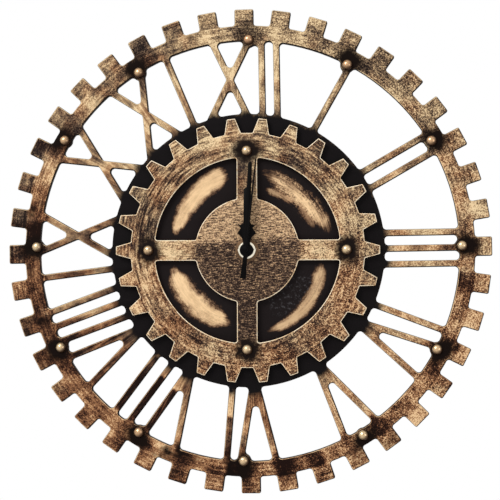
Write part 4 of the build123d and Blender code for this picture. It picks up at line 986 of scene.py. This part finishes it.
def rounded_copy(node, edge, finish):
    """Copy of a node with its sharp edges rounded and its own finish."""
    mesh = frame["nodes"][node].data.copy()
    shape = bmesh.new()
    shape.from_mesh(mesh)
    bmesh.ops.remove_doubles(shape, verts=shape.verts, dist=MERGE)
    bmesh.ops.dissolve_limit(shape, angle_limit=FLAT_ANGLE, verts=shape.verts, edges=shape.edges)
    bmesh.ops.bevel(
        shape,
        geom=[e for e in shape.edges if e.is_manifold and e.calc_face_angle() > SHARP_ANGLE],
        offset=edge,
        offset_type="OFFSET",
        segments=FITTING_STEPS,
        profile=0.5,
        affect="EDGES",
        clamp_overlap=True,
    )
    bmesh.ops.recalc_face_normals(shape, faces=shape.faces)
    shape.to_mesh(mesh)
    shape.free()
    mesh.materials.clear()
    mesh.materials.append(finish)
    mesh.shade_smooth()
    mesh.set_sharp_from_angle(angle=FITTING_CREASE)
    return mesh


def stud_mesh():
    """One domed nail about its own axis, head towards the front, with its height kept for the finish."""
    dome = STUD_HEIGHT - STUD_SKIRT
    cap = (STUD_RADIUS**2 + dome**2) / (2 * dome)
    profile = [(STUD_PIN, STUD_PIN), (STUD_PIN, 0.0), (STUD_FOOT, 0.0), (STUD_RADIUS, -STUD_SKIRT / 2)]
    for ring in range(STUD_RINGS + 1):
        radius = STUD_RADIUS * cos(pi / 2 * ring / STUD_RINGS)
        profile.append((radius, -(STUD_HEIGHT - cap + (cap**2 - radius**2) ** 0.5)))
    shape = bmesh.new()
    line = [shape.verts.new((radius, depth, 0)) for radius, depth in profile]
    rail = [shape.edges.new(pair) for pair in zip(line, line[1:])]
    bmesh.ops.spin(shape, geom=line + rail, axis=(0, 1, 0), angle=2 * pi, steps=STUD_SIDES)
    bmesh.ops.remove_doubles(shape, verts=shape.verts, dist=WELD)
    bmesh.ops.recalc_face_normals(shape, faces=shape.faces)
    mesh = bpy.data.meshes.new("stud")
    shape.to_mesh(mesh)
    shape.free()
    rise = mesh.attributes.new("rise", "FLOAT", "POINT")
    for vertex, value in zip(mesh.vertices, rise.data):
        value.value = max(0.0, -vertex.co.y / STUD_HEIGHT)
    mesh.shade_smooth()
    return mesh


def stud_tree():
    """Nodes that nail a stud on every point, each turned and tinted by its own chance."""
    tree = bpy.data.node_groups.new("nailed_studs", "GeometryNodeTree")
    for name, way, kind in (
        ("Geometry", "INPUT", "Geometry"),
        ("Stud", "INPUT", "Object"),
        ("Seed", "INPUT", "Int"),
        ("Reddest", "INPUT", "Float"),
        ("Brass", "INPUT", "Material"),
        ("Geometry", "OUTPUT", "Geometry"),
    ):
        tree.interface.new_socket(name, in_out=way, socket_type=f"NodeSocket{kind}")
    new, link = tree.nodes.new, tree.links.new
    given = new("NodeGroupInput").outputs
    shape = new("GeometryNodeObjectInfo")
    link(given["Stud"], shape.inputs["Object"])
    turn = new("FunctionNodeRandomValue")
    turn.data_type = "FLOAT_VECTOR"
    turn.inputs["Min"].default_value = (-STUD_TILT, 0, -STUD_TILT)
    turn.inputs["Max"].default_value = (STUD_TILT, 2 * pi, STUD_TILT)
    link(given["Seed"], turn.inputs["Seed"])
    nail = new("GeometryNodeInstanceOnPoints")
    link(given["Geometry"], nail.inputs["Points"])
    link(shape.outputs["Geometry"], nail.inputs["Instance"])
    link(turn.outputs["Value"], nail.inputs["Rotation"])
    # Socket 2 is the least of a random number, and output 1 the number itself
    chance = new("FunctionNodeRandomValue")
    chance.data_type = "FLOAT"
    link(given["Seed"], chance.inputs["Seed"])
    link(given["Reddest"], chance.inputs[2])
    store = new("GeometryNodeStoreNamedAttribute")
    store.data_type = "FLOAT"
    store.domain = "INSTANCE"
    store.inputs["Name"].default_value = "tint"
    link(nail.outputs["Instances"], store.inputs["Geometry"])
    link(chance.outputs[1], store.inputs["Value"])
    real = new("GeometryNodeRealizeInstances")
    link(store.outputs["Geometry"], real.inputs["Geometry"])
    coat = new("GeometryNodeSetMaterial")
    link(real.outputs["Geometry"], coat.inputs["Geometry"])
    link(given["Brass"], coat.inputs["Material"])
    link(coat.outputs["Geometry"], new("NodeGroupOutput").inputs["Geometry"])
    return tree


def nailed_studs(name, places, seat, reddest, tree, stud, brass):
    """Mesh of a row of studs whose heads lie on the depth seat."""
    points = bpy.data.meshes.new(name)
    points.from_pydata([(place.x, seat, place.z) for place in places], [], [])
    holder = new_object(name, points)
    nails = holder.modifiers.new("studs", "NODES")
    nails.node_group = tree
    sockets = {item.name: item.identifier for item in tree.interface.items_tree if item.in_out == "INPUT"}
    nails[sockets["Stud"]] = stud
    nails[sockets["Seed"]] = STUD_SEED
    nails[sockets["Reddest"]] = reddest
    nails[sockets["Brass"]] = brass
    bpy.context.view_layer.update()
    mesh = evaluated_mesh(holder)
    holder.modifiers.remove(nails)
    bpy.data.objects.remove(holder)
    mesh.name = name
    return mesh


def dress_boards():
    """Dial board and gear plate as painted sheets."""
    wall, back = cut_wall(), raw_back()
    coats = [board_paint(), rim_edge(), shaded_edge(), wall, back]
    outlines = front_outlines(BOARD_NODES)
    board = cut_sheet("dial_board", outlines, BOARD_REAR, BOARD_FRONT, BOARD_EDGE, coats)
    add_piece("dial_board", board, "frame", "bronze_board", *BOARD_NODES)
    rubbed = worn_edge()
    coats = [gear_paint(), rubbed, rubbed, wall, back]
    outlines = front_outlines(["gear_plate"])
    gear = cut_sheet("gear_sheet", outlines, BOARD_FRONT, GEAR_FRONT, GEAR_EDGE, coats)
    add_piece("gear_sheet", gear, "frame", "bronze_plate", "gear_plate")


def dress_studs():
    """Both rows of domed nails."""
    stud = new_object("stud_pattern", stud_mesh())
    tree, brass = stud_tree(), stud_brass()
    for name, node, places, seat, reddest in (
        ("rim_nails", "rim_studs", RIM_STUDS, BOARD_FRONT, 0.0),
        ("gear_nails", "gear_studs", GEAR_STUDS, GEAR_FRONT, 0.6),
    ):
        mesh = nailed_studs(name, places, seat, reddest, tree, stud, brass)
        add_piece(name, mesh, "frame", "stud_brass", node)
    bpy.data.objects.remove(stud)


def dress_fittings():
    """Hands, nuts, washers and the outside of the movement, as rounded copies."""
    black = hand_black()
    brass = brushed_metal("turned_brass", paint(150, 108, 56), paint(220, 180, 110), 0.22)
    dull_brass = brushed_metal("dull_brass", paint(70, 54, 42), paint(118, 92, 68), 0.45)
    chrome = brushed_metal("bright_nut", paint(222, 212, 190), paint(252, 245, 226), 0.12)
    case = moulded("case_black", paint(24, 24, 25), paint(36, 36, 37))
    knob = moulded("knob_black", paint(30, 30, 31), paint(44, 44, 45), 2400.0, 0.5)
    rubber = moulded("washer_rubber", paint(20, 20, 20), paint(34, 33, 32), 1200.0, 0.75)
    for node, body, slot, edge, finish in (
        ("hour_hand", "hour", "hand_black", HAND_EDGE, black),
        ("minute_hand", "minute", "hand_black", HAND_EDGE, black),
        ("second_hand", "second", "hand_black", HAND_EDGE, black),
        ("minute_nut", "minute", "fitting_brass", FITTING_EDGE, brass),
        ("brass_washer", "frame", "fitting_brass", FITTING_EDGE, dull_brass),
        ("threaded_bush", "frame", "fitting_brass", FITTING_EDGE, brass),
        ("clamp_nut", "frame", "nut_chrome", FITTING_EDGE, chrome),
        ("rubber_washer", "frame", "washer_rubber", FITTING_EDGE, rubber),
        ("movement_case", "frame", "case_plastic", CASE_EDGE, case),
        ("movement_cover", "frame", "case_plastic", FITTING_EDGE, case),
        ("setting_knob", "setting", "knob_plastic", HAND_EDGE, knob),
    ):
        add_piece(f"{node}_finished", rounded_copy(node, edge, finish), body, slot, node)


def dress_inside():
    """Finishes of the pieces kept as they are, inside the movement."""
    finishes = {
        "train_plastic": moulded("train_plastic", paint(206, 202, 188), paint(232, 228, 214), 1500.0, 0.4),
        "spring_steel": steel_strip("plated_steel", paint(150, 150, 152), paint(205, 205, 208), 0.2),
        "magnet": steel_strip("sintered_magnet", paint(70, 70, 73), paint(104, 104, 108), 0.45),
        "copper_wire": copper_wire(),
        "circuit_laminate": circuit_laminate(),
        "chip_epoxy": moulded("chip_epoxy", paint(18, 18, 19), paint(30, 30, 31), 3000.0, 0.5),
        "battery_wrap": battery_wrap(),
    }
    for part in frame["record"]["subparts"]:
        node = frame["nodes"][part["node"]]
        if part["material_slot"] in finishes and not node.hide_render:
            node.data.materials.clear()
            node.data.materials.append(finishes[part["material_slot"]])


def area_light(name, place, size, power):
    """Round lamp at a place from the clock axis, turned towards it."""
    lamp = bpy.data.lights.new(name, "AREA")
    lamp.shape = "DISK"
    lamp.size = size
    lamp.energy = power
    holder = new_object(name, lamp)
    holder.location = AXIS + Vector(place)
    holder.rotation_mode = "QUATERNION"
    holder.rotation_quaternion = (AXIS - holder.location).to_track_quat("-Z", "Y")


def white_world():
    """Surroundings that light the clock softly, and are plain white to the eye and in reflections."""
    world = bpy.data.worlds.new("studio")
    bpy.context.scene.world = world
    world.use_nodes = True
    nodes, links = world.node_tree.nodes, world.node_tree.links
    rays = nodes.new("ShaderNodeLightPath").outputs
    seen = rays["Is Camera Ray"]
    for kind in ("Is Transmission Ray", "Is Glossy Ray"):
        either = nodes.new("ShaderNodeMath")
        either.operation = "MAXIMUM"
        links.new(seen, either.inputs[0])
        links.new(rays[kind], either.inputs[1])
        seen = either.outputs[0]
    strength = nodes.new("ShaderNodeMapRange")
    links.new(seen, strength.inputs["Value"])
    strength.inputs["To Min"].default_value = ROOM_LIGHT
    strength.inputs["To Max"].default_value = WHITE_LIGHT
    background = nodes["Background"]
    background.inputs["Color"].default_value = (1, 1, 1, 1)
    links.new(strength.outputs[0], background.inputs["Strength"])


def pale_floor():
    """Floor below the clock."""
    floor = bpy.data.meshes.new("floor")
    level = CAD_LOW.z - FLOOR_DROP
    corners = [(-1, -1), (1, -1), (1, 1), (-1, 1)]
    floor.from_pydata([(x * FLOOR_HALF, y * FLOOR_HALF, level) for x, y in corners], [], [(0, 1, 2, 3)])
    plane = new_object("floor", floor)
    pale = bpy.data.materials.new("pale_floor")
    pale.use_nodes = True
    surface = pale.node_tree.nodes["Principled BSDF"].inputs
    surface["Base Color"].default_value = FLOOR_PAINT
    surface["Roughness"].default_value = FLOOR_ROUGHNESS
    floor.materials.append(pale)


def camera():
    """Camera almost square to the dial, a little to the right and below its middle."""
    lens = bpy.data.cameras.new("camera")
    lens.sensor_width = SENSOR
    lens.lens = SENSOR * CAMERA_DISTANCE / CAMERA_SPAN
    holder = new_object("camera", lens)
    yaw, pitch = radians(CAMERA_YAW), radians(CAMERA_PITCH)
    back = Vector((sin(yaw) * cos(pitch), -cos(yaw) * cos(pitch), sin(pitch)))
    target = Vector((AXIS.x + CAMERA_AIM[0], BOARD_FRONT, AXIS.z + CAMERA_AIM[1]))
    holder.location = target + back * CAMERA_DISTANCE
    holder.rotation_mode = "QUATERNION"
    roll = Matrix.Rotation(radians(CAMERA_ROLL), 3, "Z").to_quaternion()
    holder.rotation_quaternion = (-back).to_track_quat("-Z", "Y") @ roll
    bpy.context.scene.camera = holder


dress_boards()
dress_studs()
dress_fittings()
dress_inside()
white_world()
for lamp in LAMPS:
    area_light(*lamp)
pale_floor()
camera()
bpy.context.scene.view_settings.view_transform = "Standard"
